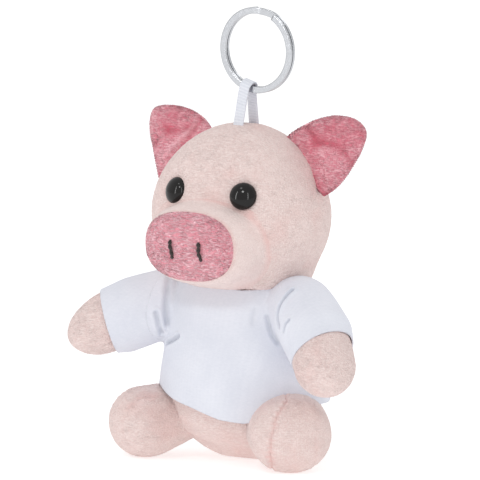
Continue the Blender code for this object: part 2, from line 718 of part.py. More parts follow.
def build_body(head_cut, body_cut):
    """The body is open at the neck, where the head is sewn on; the tail is a short curled tube."""
    lining = body_form(-PLUSH, LINING_FACETS, LINING_RINGS, PLUSH)
    stuffing = body_form(-PLUSH - GAP, LINING_FACETS, LINING_RINGS, PLUSH + GAP)
    body = piece("body_cover", body_form(0, floor=0.0), cloth("body_cover", SKIN_PINK))
    cut(body, cutter("cut_body_lining", lining), head_cut)
    cut(piece("body_filling", stuffing, cloth("body_filling", FILLING_WHITE)), head_cut)
    root = body_place(unit(math.pi / 2, -math.asin(1 - TAIL_HEIGHT / BODY_HALF_HEIGHT)))
    curl = []
    for step in range(TAIL_STEPS + 1):
        share = step / TAIL_STEPS
        angle = TAIL_TURN * share
        swing = Vector((TAIL_CURL * math.sin(angle), 0, TAIL_CURL * (1 - math.cos(angle))))
        centre = root + swing / 2 + Vector((0, TAIL_CURL * 2 * share - TAIL_SINK * (1 - share), 0))
        radius = TAIL_RADIUS * (1 - (1 - TAIL_TIP_SHARE) * share)
        curl.append(oval(centre, radius, radius, LINING_RINGS))
    cut(piece("tail", skin(curl), cloth("tail", SKIN_PINK)), body_cut)


def build_legs(body_cut):
    """Bags sewn to the hips."""
    for side in ("left", "right"):
        outer = leg_form(0, floor=0.0)
        hollow = leg_form(-PLUSH, LINING_FACETS, LINING_RINGS, PLUSH)
        core = leg_form(-PLUSH - GAP, LINING_FACETS, LINING_RINGS, PLUSH + GAP)
        if side == "right":
            outer, hollow, core = mirrored(outer), mirrored(hollow), mirrored(core)
        name = "leg_" + side
        cover = piece(name + "_cover", outer, cloth(name + "_cover", SKIN_PINK))
        cut(cover, cutter("cut_lining_" + name, hollow), body_cut)
        cut(piece(name + "_filling", core, cloth(name + "_filling", FILLING_WHITE)), body_cut)


def build_arms():
    """Closed bags with the stuffing hole at the root, where they are sewn to the body."""
    back = ARM_ROOT_RADIUS + OVERRUN
    bore = [(0, -back), (STUFFING_HOLE_RADIUS, -back), (STUFFING_HOLE_RADIUS, 0), (0, 0)]
    for side, aim in ARM_AIMS.items():
        pivot = shoulder()
        outer = arm_form(aim, 0)
        hollow = arm_form(aim, -PLUSH, LINING_FACETS, LINING_RINGS)
        core = arm_form(aim, -PLUSH - GAP, LINING_FACETS, LINING_RINGS)
        drill = turned(bore, LINING_RINGS, pivot, aim)
        if side == "right":
            outer, hollow, core, drill = mirrored(outer), mirrored(hollow), mirrored(core), mirrored(drill)
            pivot = mirror_point(pivot)
        name = "arm_" + side
        cover = piece(name + "_cover", outer, cloth(name + "_cover", SKIN_PINK), pivot)
        cut(cover, cutter("cut_lining_" + name, hollow), cutter("cut_hole_" + name, drill))
        piece(name + "_filling", core, cloth(name + "_filling", FILLING_WHITE), pivot)


def build_shirt(head_cut, body_cut):
    """One jersey tube over the body, with an armhole for each sleeve and room for the thighs."""
    steps = range(len(SHIRT_HEIGHT_SHARES))
    sheet = [shirt_ring(step, 0) for step in steps] + [shirt_ring(step, JERSEY) for step in reversed(steps)]
    shirt = piece("shirt", skin(sheet, closed=True), cloth("shirt", JERSEY_WHITE, 0.9))
    cut(shirt, cutter("cut_thigh_left", leg_form(GAP)), cutter("cut_thigh_right", mirrored(leg_form(GAP))))
    for side, aim in ARM_AIMS.items():
        pivot = shoulder()
        tube = [sleeve_ring(aim, share, 1, 0) for share in sleeve_shares(CUFF_SHARE)]
        tube += [sleeve_ring(aim, share, 0, 0) for share in reversed(sleeve_shares(CUFF_SHARE))]
        sleeve = skin(tube, closed=True)
        room_shares = [SLEEVE_ROOT_SHARE - GAP / ARM_LENGTH] + sleeve_shares(1)[1:]
        room = skin([sleeve_ring(aim, share, 1, GAP) for share in room_shares])
        arm_room = arm_form(aim, ARMHOLE_EASE)
        if side == "right":
            sleeve, room, arm_room = mirrored(sleeve), mirrored(room), mirrored(arm_room)
            pivot = mirror_point(pivot)
        cut(piece("sleeve_" + side, sleeve, cloth("sleeve_" + side, JERSEY_WHITE, 0.9), pivot),
            body_cut, head_cut)
        cut(shirt, cutter("cut_armhole_" + side, room), cutter("cut_arm_room_" + side, arm_room))


def build():
    clear_scene()
    head_cut = cutter("cut_head", head_form(GAP))
    body_cut = cutter("cut_body", body_form(GAP))
    build_ring()
    build_head()
    build_muzzle(head_cut)
    build_ears()
    build_body(head_cut, body_cut)
    build_legs(body_cut)
    build_arms()
    build_shirt(head_cut, body_cut)


build()
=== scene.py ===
import math
import random

import bmesh
import bpy
import numpy as np
from mathutils import Matrix, Vector, noise


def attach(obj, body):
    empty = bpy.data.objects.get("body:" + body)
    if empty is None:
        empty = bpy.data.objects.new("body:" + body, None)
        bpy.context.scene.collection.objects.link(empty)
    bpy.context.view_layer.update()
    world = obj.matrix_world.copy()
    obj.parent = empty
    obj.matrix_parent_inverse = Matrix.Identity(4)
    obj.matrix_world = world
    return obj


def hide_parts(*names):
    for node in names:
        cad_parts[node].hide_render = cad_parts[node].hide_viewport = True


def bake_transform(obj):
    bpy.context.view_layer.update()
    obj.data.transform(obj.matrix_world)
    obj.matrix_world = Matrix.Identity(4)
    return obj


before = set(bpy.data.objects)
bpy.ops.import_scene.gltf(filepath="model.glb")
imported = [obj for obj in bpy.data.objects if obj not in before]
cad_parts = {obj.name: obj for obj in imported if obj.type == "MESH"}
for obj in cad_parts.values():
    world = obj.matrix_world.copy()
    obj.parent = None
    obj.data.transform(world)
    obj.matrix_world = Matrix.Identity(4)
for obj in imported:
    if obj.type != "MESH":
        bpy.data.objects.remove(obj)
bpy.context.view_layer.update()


# Camera: a long lens a little above the table, to the pig's left front.

VIEW_AROUND = math.radians(35.0)
VIEW_UP = math.radians(8.0)
VIEW_DISTANCE = 4.0
VIEW_WIDTH = 0.1387
VIEW_CENTRE = Vector((-0.00107, -0.00075, 0.06362))
view_back = Vector((math.sin(VIEW_AROUND) * math.cos(VIEW_UP), -math.cos(VIEW_AROUND) * math.cos(VIEW_UP),
                    math.sin(VIEW_UP)))
camera = bpy.data.objects.new("camera", bpy.data.cameras.new("camera"))
camera.data.sensor_width = 36
camera.data.lens = 36 * VIEW_DISTANCE / VIEW_WIDTH
camera.data.clip_start = 0.05
camera.location = VIEW_CENTRE + view_back * VIEW_DISTANCE
camera.rotation_euler = view_back.to_track_quat("Z", "Y").to_euler()
bpy.context.collection.objects.link(camera)
bpy.context.scene.camera = camera
bpy.context.scene.view_settings.view_transform = "Standard"


# Finishes: each is one Principled material. A reading is a value inside it, and sums on readings
# become Math nodes.

class Reading:
    def __init__(self, finish, socket):
        self.finish = finish
        self.socket = socket

    def sum(self, operation, first, second):
        return self.finish.node("ShaderNodeMath", {"operation": operation}, {0: first, 1: second})

    def __add__(self, other):
        return self.sum("ADD", self, other)

    __radd__ = __add__

    def __rsub__(self, other):
        return self.sum("SUBTRACT", other, self)

    def __mul__(self, other):
        return self.sum("MULTIPLY", self, other)


class Finish:
    def __init__(self, name, **constants):
        self.material = bpy.data.materials.new(name)
        self.material.use_nodes = True
        self.tree = self.material.node_tree
        self.shader = self.tree.nodes["Principled BSDF"]
        self.set(**constants)

    def set(self, **constants):
        """Values or readings for the shader's own sockets, with _ for each space in their names."""
        for name, value in constants.items():
            self.feed(self.shader.inputs[name.replace("_", " ")], value)

    def feed(self, socket, value):
        if isinstance(value, Reading):
            self.tree.links.new(value.socket, socket)
        else:
            socket.default_value = value

    def node(self, kind, settings=None, sockets=None, out=0):
        """Any node: its settings first, then the values or readings of its sockets."""
        made = self.tree.nodes.new(kind)
        for name, value in (settings or {}).items():
            setattr(made, name, value)
        for name, value in (sockets or {}).items():
            self.feed(made.inputs[name], value)
        return Reading(self, made.outputs[out])

    def place(self):
        return self.node("ShaderNodeTexCoord", out=3)

    def mark(self, name):
        return self.node("ShaderNodeAttribute", {"attribute_name": name}, out=2)

    def mix(self, share, low, high):
        """A colour between two colours or colour readings."""
        return self.node("ShaderNodeMix", {"data_type": "RGBA"}, {0: share, 6: low, 7: high}, out=2)

    def cloud(self, where, size, detail=2.0, rough=0.5):
        """Soft noise from 0 to 1 whose features are about size across, in metres."""
        return self.node("ShaderNodeTexNoise", {}, {"Vector": where, "Scale": 1 / size, "Detail": detail,
                                                    "Roughness": rough})

    def combed(self, along, stretch):
        """The piece's own coordinates, drawn out along a direction."""
        turn = Vector(along).to_track_quat("X", "Z").to_matrix().inverted().to_euler()
        return self.node("ShaderNodeMapping", {}, {"Vector": self.place(), "Rotation": turn,
                                                   "Scale": (1 / stretch, 1, 1)})

    def level(self, value, low, high):
        """Share from 0 to 1 of the way from low to high."""
        return self.node("ShaderNodeMapRange", {"interpolation_type": "SMOOTHSTEP"},
                         {"Value": value, "From Min": low, "From Max": high})

    def bump(self, height, depth):
        lift = self.node("ShaderNodeBump", {}, {"Height": height, "Distance": depth, "Strength": 1.0})
        self.set(Normal=lift)


def tinted(red, green, blue):
    """A colour given as it shows on a screen, from 0 to 255."""
    return tuple(((c / 255 + 0.055) / 1.055) ** 2.4 for c in (red, green, blue)) + (1.0,)


# Table and light: a pale sweep that gives light back from below, three soft panels, and two strips
# that show only as highlights.

table = bpy.data.objects.new("table", bpy.data.meshes.new("table"))
table_top = bmesh.new()
bmesh.ops.create_grid(table_top, x_segments=1, y_segments=1, size=4.0)
table_top.to_mesh(table.data)
bpy.context.collection.objects.link(table)
sweep = Finish("pale_sweep", Base_Color=(0.7, 0.7, 0.7, 1), Roughness=0.9, Emission_Color=(1, 1, 1, 1),
               Emission_Strength=0.5)
table.data.materials.append(sweep.material)

sky = bpy.data.worlds.new("sky")
sky.use_nodes = True
sky.node_tree.nodes["Background"].inputs["Color"].default_value = (1, 1, 1, 1)
sky.node_tree.nodes["Background"].inputs["Strength"].default_value = 0.82
bpy.context.scene.world = sky


def panel(name, around, up, distance, size, power, seen_only=False):
    """A soft upright light that looks at the pig; it can give highlights alone."""
    lamp = bpy.data.objects.new(name, bpy.data.lights.new(name, "AREA"))
    lamp.data.shape = "RECTANGLE"
    lamp.data.size, lamp.data.size_y = size
    lamp.data.energy = power
    lamp.visible_diffuse = not seen_only
    out = Vector((math.sin(around) * math.cos(up), -math.cos(around) * math.cos(up), math.sin(up)))
    lamp.location = Vector((0, 0, 0.06)) + out * distance
    lamp.rotation_euler = out.to_track_quat("Z", "Y").to_euler()
    bpy.context.collection.objects.link(lamp)


panel("front_panel", math.radians(12), math.radians(42), 0.9, (0.13, 0.13), 0.9)
panel("top_panel", math.radians(-15), math.radians(60), 0.9, (0.15, 0.15), 0.3)
panel("back_panel", math.radians(170), math.radians(45), 1.0, (0.3, 0.3), 0.5)
panel("left_strip", math.radians(-24), math.radians(18), 0.9, (0.06, 0.6), 1.1, seen_only=True)
panel("right_strip", math.radians(47), math.radians(18), 0.9, (0.05, 0.6), 1.0, seen_only=True)


# Body: a pear-shaped stuffed bag of pale pink short-pile plush. Its flat seat rests on the table, and
# its neck is sewn round the underside of the head. The form is drawn from a ball of square faces.

BODY_CENTRE = Vector((0, 0, 0.02915))
BODY_HALF = Vector((0.0224, 0.0182, 0.02965))
BODY_PEAR = 0.345
BODY_FULL = 0.93
HEAD_CENTRE = Vector((0, 0, 0.0736))
HEAD_HALF = Vector((0.0267, 0.0208, 0.0243))
HEAD_CHEEKS = 0.09
HEAD_SQUARE = {"front": 2.65, "back": 2.0}
HEAD_JOWL = 1.1
HEAD_JOWL_POWER = 7
SEWN_GAP = 0.0002
SEAT_LIFT = 0.0036
SEAT_DROP = 0.0011
BACK_SEAM = [(0, 0.0184 - 0.012 * (z / 0.05) ** 2, z) for z in (0.012, 0.02, 0.03, 0.04, 0.05)]
BODY_PILE = (0.00055, 0.00009)
LIMB_PILE = (0.00055, 0.0001)
SIDES = (("left", 1), ("right", -1))


def ball_blank(cuts):
    """A unit ball of nearly even square faces."""
    bm = bmesh.new()
    bmesh.ops.create_cube(bm, size=2)
    bmesh.ops.subdivide_edges(bm, edges=bm.edges, cuts=cuts, use_grid_fill=True)
    for vert in bm.verts:
        vert.co = Vector([math.tan(c * math.pi / 4) for c in vert.co]).normalized()
    return bm


def drawn(bm, place):
    """Move every point by a function of its place."""
    for vert in bm.verts:
        vert.co = place(vert.co)
    bmesh.ops.recalc_face_normals(bm, faces=bm.faces)
    bm.normal_update()
    return bm


def finished(name, bm, finish, body, nodes):
    """Make the piece: its mesh, its finish, the body that it rides on and the solids that it stands for."""
    mesh = bpy.data.meshes.new(name)
    bm.to_mesh(mesh)
    bm.free()
    mesh.shade_smooth()
    mesh.materials.append(finish.material)
    piece = bpy.data.objects.new(name, mesh)
    bpy.context.collection.objects.link(piece)
    if body:
        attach(piece, body)
    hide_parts(*nodes)
    return piece


def smooth_step(value, low, high):
    share = min(max((value - low) / (high - low), 0), 1)
    return share * share * (3 - 2 * share)


def between(at, rows, column=1, period=None):
    """A value read off a table whose rows start with where they hold."""
    return float(np.interp(at, [row[0] for row in rows], [row[column] for row in rows], period=period))


def softened(bm, rounds, chosen=lambda spot: True):
    """Smooth the chosen part of a skin, round by round."""
    for step in range(rounds):
        bmesh.ops.smooth_vert(bm, verts=[vert for vert in bm.verts if chosen(vert.co)], factor=0.5,
                              use_axis_x=True, use_axis_y=True, use_axis_z=True)
    return bm


def body_form(point):
    level = math.hypot(point.x, point.y)
    full = level ** BODY_FULL / level * (1 - BODY_PEAR * point.z) if level else 0
    spot = BODY_CENTRE + Vector((point.x * BODY_HALF.x * full, point.y * BODY_HALF.y * full,
                                 point.z * BODY_HALF.z))
    lift = ((SEAT_LIFT - SEAT_DROP * smooth_step(spot.x, 0.004, 0.013))
            * smooth_step(-spot.y, 0, 0.010) * smooth_step(0.012 - spot.z, 0, 0.012))
    spot.z = max(spot.z, 0) + lift
    return spot


def out_of_body(spot, gap=SEWN_GAP):
    """Push a point that lies in the body out to its cloth."""
    high = (spot.z - BODY_CENTRE.z) / BODY_HALF.z
    if abs(high) >= 1:
        return spot
    full = 1 - BODY_PEAR * high
    wide = math.hypot(spot.x / (BODY_HALF.x * full), spot.y / (BODY_HALF.y * full))
    edge = math.sqrt(1 - high * high) ** BODY_FULL + gap / BODY_HALF.x
    if wide >= edge or not wide:
        return spot
    return Vector((spot.x * edge / wide, spot.y * edge / wide, spot.z))


def head_full(high):
    """How much wider than a ball's the head's level is, by its height from -1 to 1."""
    return (1 - HEAD_CHEEKS * high) * (1 + HEAD_JOWL * max(-high, 0) ** HEAD_JOWL_POWER)


def head_share(spot):
    """1 on the head's cloth, less inside it."""
    away = spot - HEAD_CENTRE
    high = away.z / HEAD_HALF.z
    full = head_full(high)
    square = HEAD_SQUARE["front" if away.y < 0 else "back"]
    across = (abs(away.x / (HEAD_HALF.x * full)) ** square
              + abs(away.y / (HEAD_HALF.y * full)) ** square) ** (1 / square)
    return math.hypot(across, high)


def out_of_head(spot, gap=SEWN_GAP):
    """Push a point that lies in the head out to its cloth."""
    share = head_share(spot) / (1 + gap / HEAD_HALF.z)
    return HEAD_CENTRE + (spot - HEAD_CENTRE) / share if 0 < share < 1 else spot


def distances(spots, line):
    """How far each of some points lies from a line of points."""
    near = np.full(len(spots), 1.0)
    for start, end in zip(np.array(line)[:-1], np.array(line)[1:]):
        run = end - start
        share = np.clip((spots - start) @ run / (run @ run), 0, 1)
        near = np.minimum(near, np.linalg.norm(spots - start - share[:, None] * run, axis=1))
    return near


def pressed(bm, line, width, depth, ridge=0.0):
    """Press a crease of a width and depth along a line of points, with a soft ridge beside it."""
    near = distances(np.array([vert.co for vert in bm.verts]), line)
    fall = np.exp(-(near / width) ** 2)
    rise = np.exp(-((near - 2 * width) / width) ** 2)
    for vert, down, up in zip(bm.verts, fall, rise):
        if down > 0.01 or up * ridge > 0.01 * depth:
            vert.co += vert.normal * (up * ridge - down * depth)
    bm.normal_update()
    return fall


def napped(bm, lie, pile, worn=0.35, chosen=None):
    """Raise a tuft on every chosen face: the pile's reach lies along a wandering way, its stand is up."""
    reach, stand = pile
    draw = random.Random(len(bm.faces))
    bmesh.ops.recalc_face_normals(bm, faces=bm.faces)
    bm.normal_update()
    tip_mark = bm.verts.layers.float.new("tip")
    shade_mark = bm.verts.layers.float.new("shade")
    span = math.sqrt(sum(f.calc_area() for f in bm.faces) / len(bm.faces))
    for vert in bm.verts:
        narrow = min([span] + [edge.calc_length() for edge in vert.link_edges])
        loose = Vector([draw.uniform(-1, 1) for axis in range(3)]) * narrow * 0.3
        vert.co += loose - vert.normal * loose.dot(vert.normal)
        vert[shade_mark] = draw.random()
    faces = [face for face in bm.faces if chosen is None or chosen(face.calc_center_median())]
    tips = bmesh.ops.poke(bm, faces=faces, center_mode="MEAN")["verts"]
    bm.normal_update()
    for tip in tips:
        spot = tip.co
        stray = noise.noise_vector(spot / 0.0032) * worn + noise.noise_vector(spot / 0.0009) * worn * 0.5
        along = Vector(lie(spot)).normalized() + stray
        along -= tip.normal * along.dot(tip.normal)
        narrow = min(edge.calc_length() for edge in tip.link_edges)
        length = min(reach, span * 0.42, narrow * 0.55) * draw.uniform(0.5, 1.15)
        high = stand * draw.uniform(0.5, 1.4) * (1 + noise.noise(spot / 0.0021) * 0.6)
        tip.co = spot + along * length + tip.normal * high
        tip[tip_mark] = 1.0
        tip[shade_mark] = draw.random()
    return bm


def plush(name, root, tip, painted_shade_and_blotch, along, coarse=0.0011, stroke=0.3):
    """Short-pile plush: deeper at the tufts' roots and in strokes. The third colour darkens it in random
    blotches and in painted shade marked on each piece; the pale mark lightens it towards the tip colour, and
    on the ears that is a painted highlight.
    """
    made = Finish(name, Sheen_Weight=0.25, Sheen_Roughness=0.45, Sheen_Tint=(1.0, 0.93, 0.91, 1.0),
                  Specular_IOR_Level=0.15)
    turn = made.cloud(made.place(), 0.004, 1.0)
    combed = made.combed(along, 4.0)
    upward = made.combed((along[0] * 0.35, along[1], along[2] + 0.35), 4.0)
    streak, steep = (made.level(made.cloud(way, coarse * 0.4), 0.36, 0.64) for way in (combed, upward))
    side = made.level(turn, 0.42, 0.58)
    streak = streak * side + steep * (1 - side)
    lock = made.cloud(combed, coarse, 2.0)
    patch = made.cloud(made.place(), 0.011, 2.0)
    pile = made.mark("tip") * 0.3 + made.mark("shade") * 0.2 + streak * stroke + (0.5 - stroke / 2 - 0.15)
    colour = made.mix(made.level(pile, 0.0, 1.0), root, tip)
    # Painted shade: marked creases, seams and recesses, with random blotches, take on the third colour.
    shade_and_blotch_share = made.level(patch, 0.42, 0.75) * 0.4 + made.mark("painted_shade_and_blotch")
    colour = made.mix(made.level(shade_and_blotch_share, 0.0, 1.0), colour, painted_shade_and_blotch)
    # Paler towards the tip colour where marked: a painted highlight on the ears' rims and pleat, and a paler
    # middle on the muzzle band.
    colour = made.mix(made.mark("pale_tone_and_highlight"), colour, tip)
    made.set(Base_Color=colour, Roughness=0.82 + streak * 0.15)
    made.bump(streak * stroke + lock * 0.5, 0.0004)
    return made


PINK_ALONG = (0.8, 0.55, -0.25)
# The third colour of each plush is the one that its painted shade and blotches deepen to.
pink_plush = plush("pink_plush", tinted(222, 193, 188), tinted(247, 231, 227), tinted(232, 192, 187),
                   PINK_ALONG, coarse=0.0009, stroke=0.26)
body = drawn(ball_blank(62), body_form)
for vert in body.verts:
    if vert.co.z > 0.045:
        vert.co = out_of_head(vert.co)
pressed(body, BACK_SEAM, width=0.0006, depth=0.0003)
napped(body, lambda spot: (0.2, -0.2, -1), BODY_PILE, chosen=lambda spot: 0.0004 < spot.z < 0.022)
body_bag = finished("body_bag", body, pink_plush, "torso", ["body_cover", "body_filling"])


# Legs: two short stuffed bags of the same plush, sewn to the hips. Each has a strip of plush over the
# foot between two side panels, so two seams run round it. Their undersides rest flat on the table.

LEG_HIP = Vector((0.0125, 0.002, 0.010))
LEG_RUN = 0.0205
LEG_SPREAD = math.radians(40)
LEG_STRIP = 0.0067
LEG_BEND = ((0.0010, 0.0013), (0.0058, 0.0), (0.0090, 0.0001), (0.0137, 0.0009), (0.0180, 0.0023),
            (0.0212, 0.0055))
LEG_SEAM_WIDTH = 0.0004
LEG_SEAM_DEPTH = 0.0004
LEG_PUFF = 0.00024
LEG_PUCKER = 0.00022
LEG_SUNK = 0.003
LEG_RISE = 0.0042
LEG = {
    "left": {"foot": Vector((0.0118, 0.0110, 0.0105)), "hip_share": 1.0, "foot_up": 0.0006,
             "hip_up": 0.0010},
    "right": {"foot": Vector((0.0117, 0.0103, 0.0103)), "hip_share": 0.86, "foot_up": 0.0,
              "hip_up": 0.0022},
}
LIMB_END = 0.334
LIMB_SWELL = 0.03


def limb_form(start, end, start_size, end_size):
    """A limb with a half ball at each end and a swollen run; sizes are across, up and along."""
    turn = (end - start).to_track_quat("Z", "Y")

    def place(point):
        reach = math.asin(max(min(point.z, 1), -1)) / (math.pi / 2)
        share = min(max((reach / LIMB_END + 1) / 2, 0), 1)
        past = max(abs(reach) - LIMB_END, 0) / (1 - LIMB_END)
        angle = math.copysign(past * math.pi / 2, reach)
        level = math.hypot(point.x, point.y)
        wide = math.cos(angle) / level if level else 0
        wide *= 1 + LIMB_SWELL * math.sin(math.pi * share)
        size = start_size.lerp(end_size, share)
        across = Vector((point.x * wide * size.x, point.y * wide * size.y, math.sin(angle) * size.z))
        return start.lerp(end, share) + turn @ across

    return place


for side, left in SIDES:
    shape = LEG[side]
    leg_line = Vector((math.sin(LEG_SPREAD) * left, -math.cos(LEG_SPREAD), 0))
    leg_across = Vector((leg_line.y, -leg_line.x, 0))
    hip = Vector((LEG_HIP.x * left, LEG_HIP.y, LEG_HIP.z))
    leg = drawn(ball_blank(50), limb_form(hip + Vector((0, 0, shape["hip_up"])),
                                          hip + leg_line * LEG_RUN + Vector((0, 0, shape["foot_up"])),
                                          shape["foot"] * shape["hip_share"], shape["foot"]))
    for vert in leg.verts:
        along = (vert.co - hip).dot(leg_line)
        vert.co.z = max(vert.co.z, 0) + (LEG_RISE * smooth_step(0.019 - along, 0, 0.017)
                                         * smooth_step(0.011 - vert.co.z, 0, 0.011))
        vert.co = out_of_body(vert.co, -LEG_SUNK)
    seam = leg.verts.layers.float.new("painted_shade_and_blotch")
    for vert in leg.verts:
        across = (vert.co - hip).dot(leg_across)
        along = (vert.co - hip).dot(leg_line)
        wander = 0.0004 * noise.noise(vert.co / 0.004)
        bend = between(vert.co.z, LEG_BEND) if across > 0 else 0
        aside = abs(across) - LEG_STRIP + bend + wander
        on_front = smooth_step(along, 0.004, 0.012) * (0.3 if across < 0 else 1)
        strength = math.exp(-(aside / LEG_SEAM_WIDTH) ** 2) * on_front
        pucker = 0.5 + 0.5 * math.cos(vert.co.z / LEG_PUCKER + 4 * noise.noise(vert.co / 0.003))
        puff = math.exp(-((abs(aside) - 0.0008) / 0.0006) ** 2) * on_front * pucker
        if vert.co.z > 0.0003:
            vert.co += vert.normal * (puff * LEG_PUFF - strength * LEG_SEAM_DEPTH)
        # Painted shade: the colour deepens in the seam's groove, on its puckers, and at the hip where the leg
        # meets the body.
        root = 1 - smooth_step(along, -0.003, 0.008)
        vert[seam] = min(strength * 0.5 + puff * 0.35 + root * 0.4, 1)
    napped(leg, lambda spot: (0.9, 0.5, -0.25), LIMB_PILE, chosen=lambda spot: spot.z > 0.0004)
    foot = finished("leg_bag_" + side, leg, pink_plush, "torso",
                    ["leg_" + side + "_cover", "leg_" + side + "_filling"])


# Tail: a short curled tube of pink plush, turned right side out and sewn in at the back.

TAIL_ROOT = Vector((0, 0.0168, 0.007))
TAIL_CURL = 0.0026
TAIL_RADIUS = 0.0017
TAIL_TURN = math.radians(250)
TAIL_PILE = (0.0003, 0.00006)


def tail_form(point):
    """The ball's height runs along the curl."""
    share = (math.asin(max(min(point.z, 1), -1)) / (math.pi / 2) + 1) / 2
    angle = TAIL_TURN * share
    middle = TAIL_ROOT + Vector((TAIL_CURL * math.sin(angle) / 2, TAIL_CURL * 2 * share - 0.002 * (1 - share),
                                 TAIL_CURL * (1 - math.cos(angle)) / 2))
    radius = TAIL_RADIUS * (1 - 0.4 * share) * min(1, math.sqrt(max(1 - point.z ** 6, 0)))
    level = math.hypot(point.x, point.y) or 1
    return middle + Vector((point.x, 0, point.y)) / level * radius


tail = drawn(ball_blank(14), tail_form)
napped(tail, lambda spot: (0.2, 1, 0.2), TAIL_PILE)
tail_curl = finished("tail_curl", tail, pink_plush, "torso", ["tail"])


# Arms: stuffed bags of pink plush, sewn to the shoulders inside the sleeves. Each widens to a rounded
# hand, one rounder and one more pointed, and has a seam along its underside.

SHOULDER = Vector((0.02175, -0.00617, 0.04702))
ARM_RUN = 0.0249
ARM_ROOT = 0.0070
ARM = {
    "left": {"aim": Vector((0.6785, -0.4406, -0.5878)), "side": Vector((0.717, 0.571, 0.400)),
             "rows": ((0, 0.0070, 0), (0.008, 0.0079, 0.0005), (0.016, 0.0084, 0.0015),
                      (0.020, 0.0090, 0.0018), (0.026, 0.0089, 0.0010)),
             "wrist": 0.0252, "tip": 0.0099, "power": (2.0, 0.5), "seam": Vector((0, 0, -1))},
    "right": {"aim": Vector((-0.7177, -0.5709, -0.3987)), "side": Vector((0.403, 0.127, -0.906)),
              "rows": ((0, 0.0070, 0), (0.006, 0.0078, 0.0001), (0.012, 0.0084, 0.0002),
                       (0.017, 0.0087, 0.0002), (0.026, 0.0088, 0.0007)),
              "wrist": 0.0170, "tip": 0.0155, "power": (2.2, 0.526),
              "seam": Vector((0.686, -0.484, -0.542))},
}
ARM_SEAM = ((0.010, 0.0083), (0.016, 0.0088), (0.021, 0.0090), (0.026, 0.0085), (0.030, 0.0062))


def mirror(spot):
    return Vector((-spot.x, spot.y, spot.z))


ROOT = {"left": SHOULDER, "right": mirror(SHOULDER)}


def arm_ring(side, run):
    """The arm's radius at a distance from the shoulder, and its middle, from the shoulder."""
    arm = ARM[side]
    size = between(run, arm["rows"])
    if run < 0:
        size *= math.sqrt(max(1 - (run / ARM_ROOT) ** 2, 0))
    elif run > arm["wrist"]:
        past = min((run - arm["wrist"]) / arm["tip"], 1)
        size *= max(1 - past ** arm["power"][0], 0) ** arm["power"][1]
    return size, arm["aim"] * run + arm["side"] * between(run, arm["rows"], 2)


def arm_form(side):
    """An arm's place function: the ball's height runs from the root's half ball to the hand's tip."""
    arm = ARM[side]
    turn = arm["aim"].to_track_quat("Z", "Y")
    end = arm["wrist"] + arm["tip"]

    def place(point):
        run = (end - ARM_ROOT) / 2 + (end + ARM_ROOT) / 2 * point.z
        size, middle = arm_ring(side, run)
        across = Vector((point.x, point.y, 0))
        across = across.normalized() * size if across.length > 1e-6 else across
        return ROOT[side] + middle + turn @ across

    return place


for side in ARM:
    root = ROOT[side]
    aim = ARM[side]["aim"]
    arm = softened(drawn(ball_blank(48), arm_form(side)), 3)
    arm.normal_update()
    below = ARM[side]["seam"]
    below = (below - aim * below.dot(aim)).normalized()
    pressed(arm, [root + aim * run + below * out for run, out in ARM_SEAM], width=0.0005, depth=0.0004,
            ridge=0.0001)
    # Painted shade: the arm deepens towards the shoulder, where it goes into the sleeve.
    shade_and_blotch_layer = arm.verts.layers.float.new("painted_shade_and_blotch")
    for vert in arm.verts:
        vert[shade_and_blotch_layer] = 0.35 * (1 - smooth_step((vert.co - root).dot(aim), 0.016, 0.024))
    napped(arm, lambda spot: (0.6, 0.4, 0.6), LIMB_PILE,
           chosen=lambda spot: (spot - root).dot(aim) > 0.012)
    hand = finished("arm_bag_" + side, arm, pink_plush, "arm_" + side,
                    ["arm_" + side + "_cover", "arm_" + side + "_filling"])


# Head: an egg-shaped stuffed bag of the same plush, full at the cheeks. The eyes and the muzzle are
# drawn into it, the ribbon leaves a dimple at the crown, and a seam runs down the back.

EYE_SEAT = Vector((0.012128, -0.017919, 0.0793))
EYE_AXIS = Vector((0.32615, -0.90237, 0.28171))
EYE_RADIUS = 0.0040
EYE_HEIGHT = 0.0025
EYE_DENT = 0.0013
EYE_SUNK = {"left": 0.0, "right": 0.0010}
MUZZLE_LEVEL = 0.0649
CROWN = Vector((0, 0.0007, 0.0979))
HEAD_PILE = (0.00058, 0.0001)


def head_form(point):
    level = math.hypot(point.x, point.y)
    square = HEAD_SQUARE["front" if point.y < 0 else "back"]
    corner = (abs(point.x) ** square + abs(point.y) ** square) ** (1 / square)
    full = head_full(point.z) * (level / corner if level else 1)
    return HEAD_CENTRE + Vector((point.x * HEAD_HALF.x * full, point.y * HEAD_HALF.y * full,
                                 point.z * HEAD_HALF.z))


EYES = {"left": (EYE_SEAT, EYE_AXIS), "right": (mirror(EYE_SEAT), mirror(EYE_AXIS))}


def head_lie(spot):
    """The pile lies back and down over the head, and leans over the rims of the eyes."""
    lie = Vector(PINK_ALONG)
    for seat, axis in EYES.values():
        inward = seat - spot
        if inward.length < 0.0055:
            lie = lie + inward.normalized() * 2.5 + axis * 0.5
    return lie


def eye_dent(spot):
    """How deep the eyes' washers draw the face in."""
    return sum(EYE_DENT * math.exp(-((spot - seat).length / 0.0052) ** 2)
               for seat, axis in EYES.values())


head = drawn(ball_blank(74), head_form)
for vert in head.verts:
    spot = vert.co
    dent = 0.0003 * math.exp(-((spot - CROWN).length / 0.0036) ** 2) + eye_dent(spot)
    dent += 0.00025 * math.exp(-(spot.x / 0.0005) ** 2) * smooth_step(spot.y, 0, 0.006)
    spot = spot - vert.normal * dent
    for root in ROOT.values():
        away = spot - root
        if away.length < ARM_ROOT + 2 * SEWN_GAP:
            spot = root + away.normalized() * (ARM_ROOT + 2 * SEWN_GAP)
    vert.co = spot
head.normal_update()
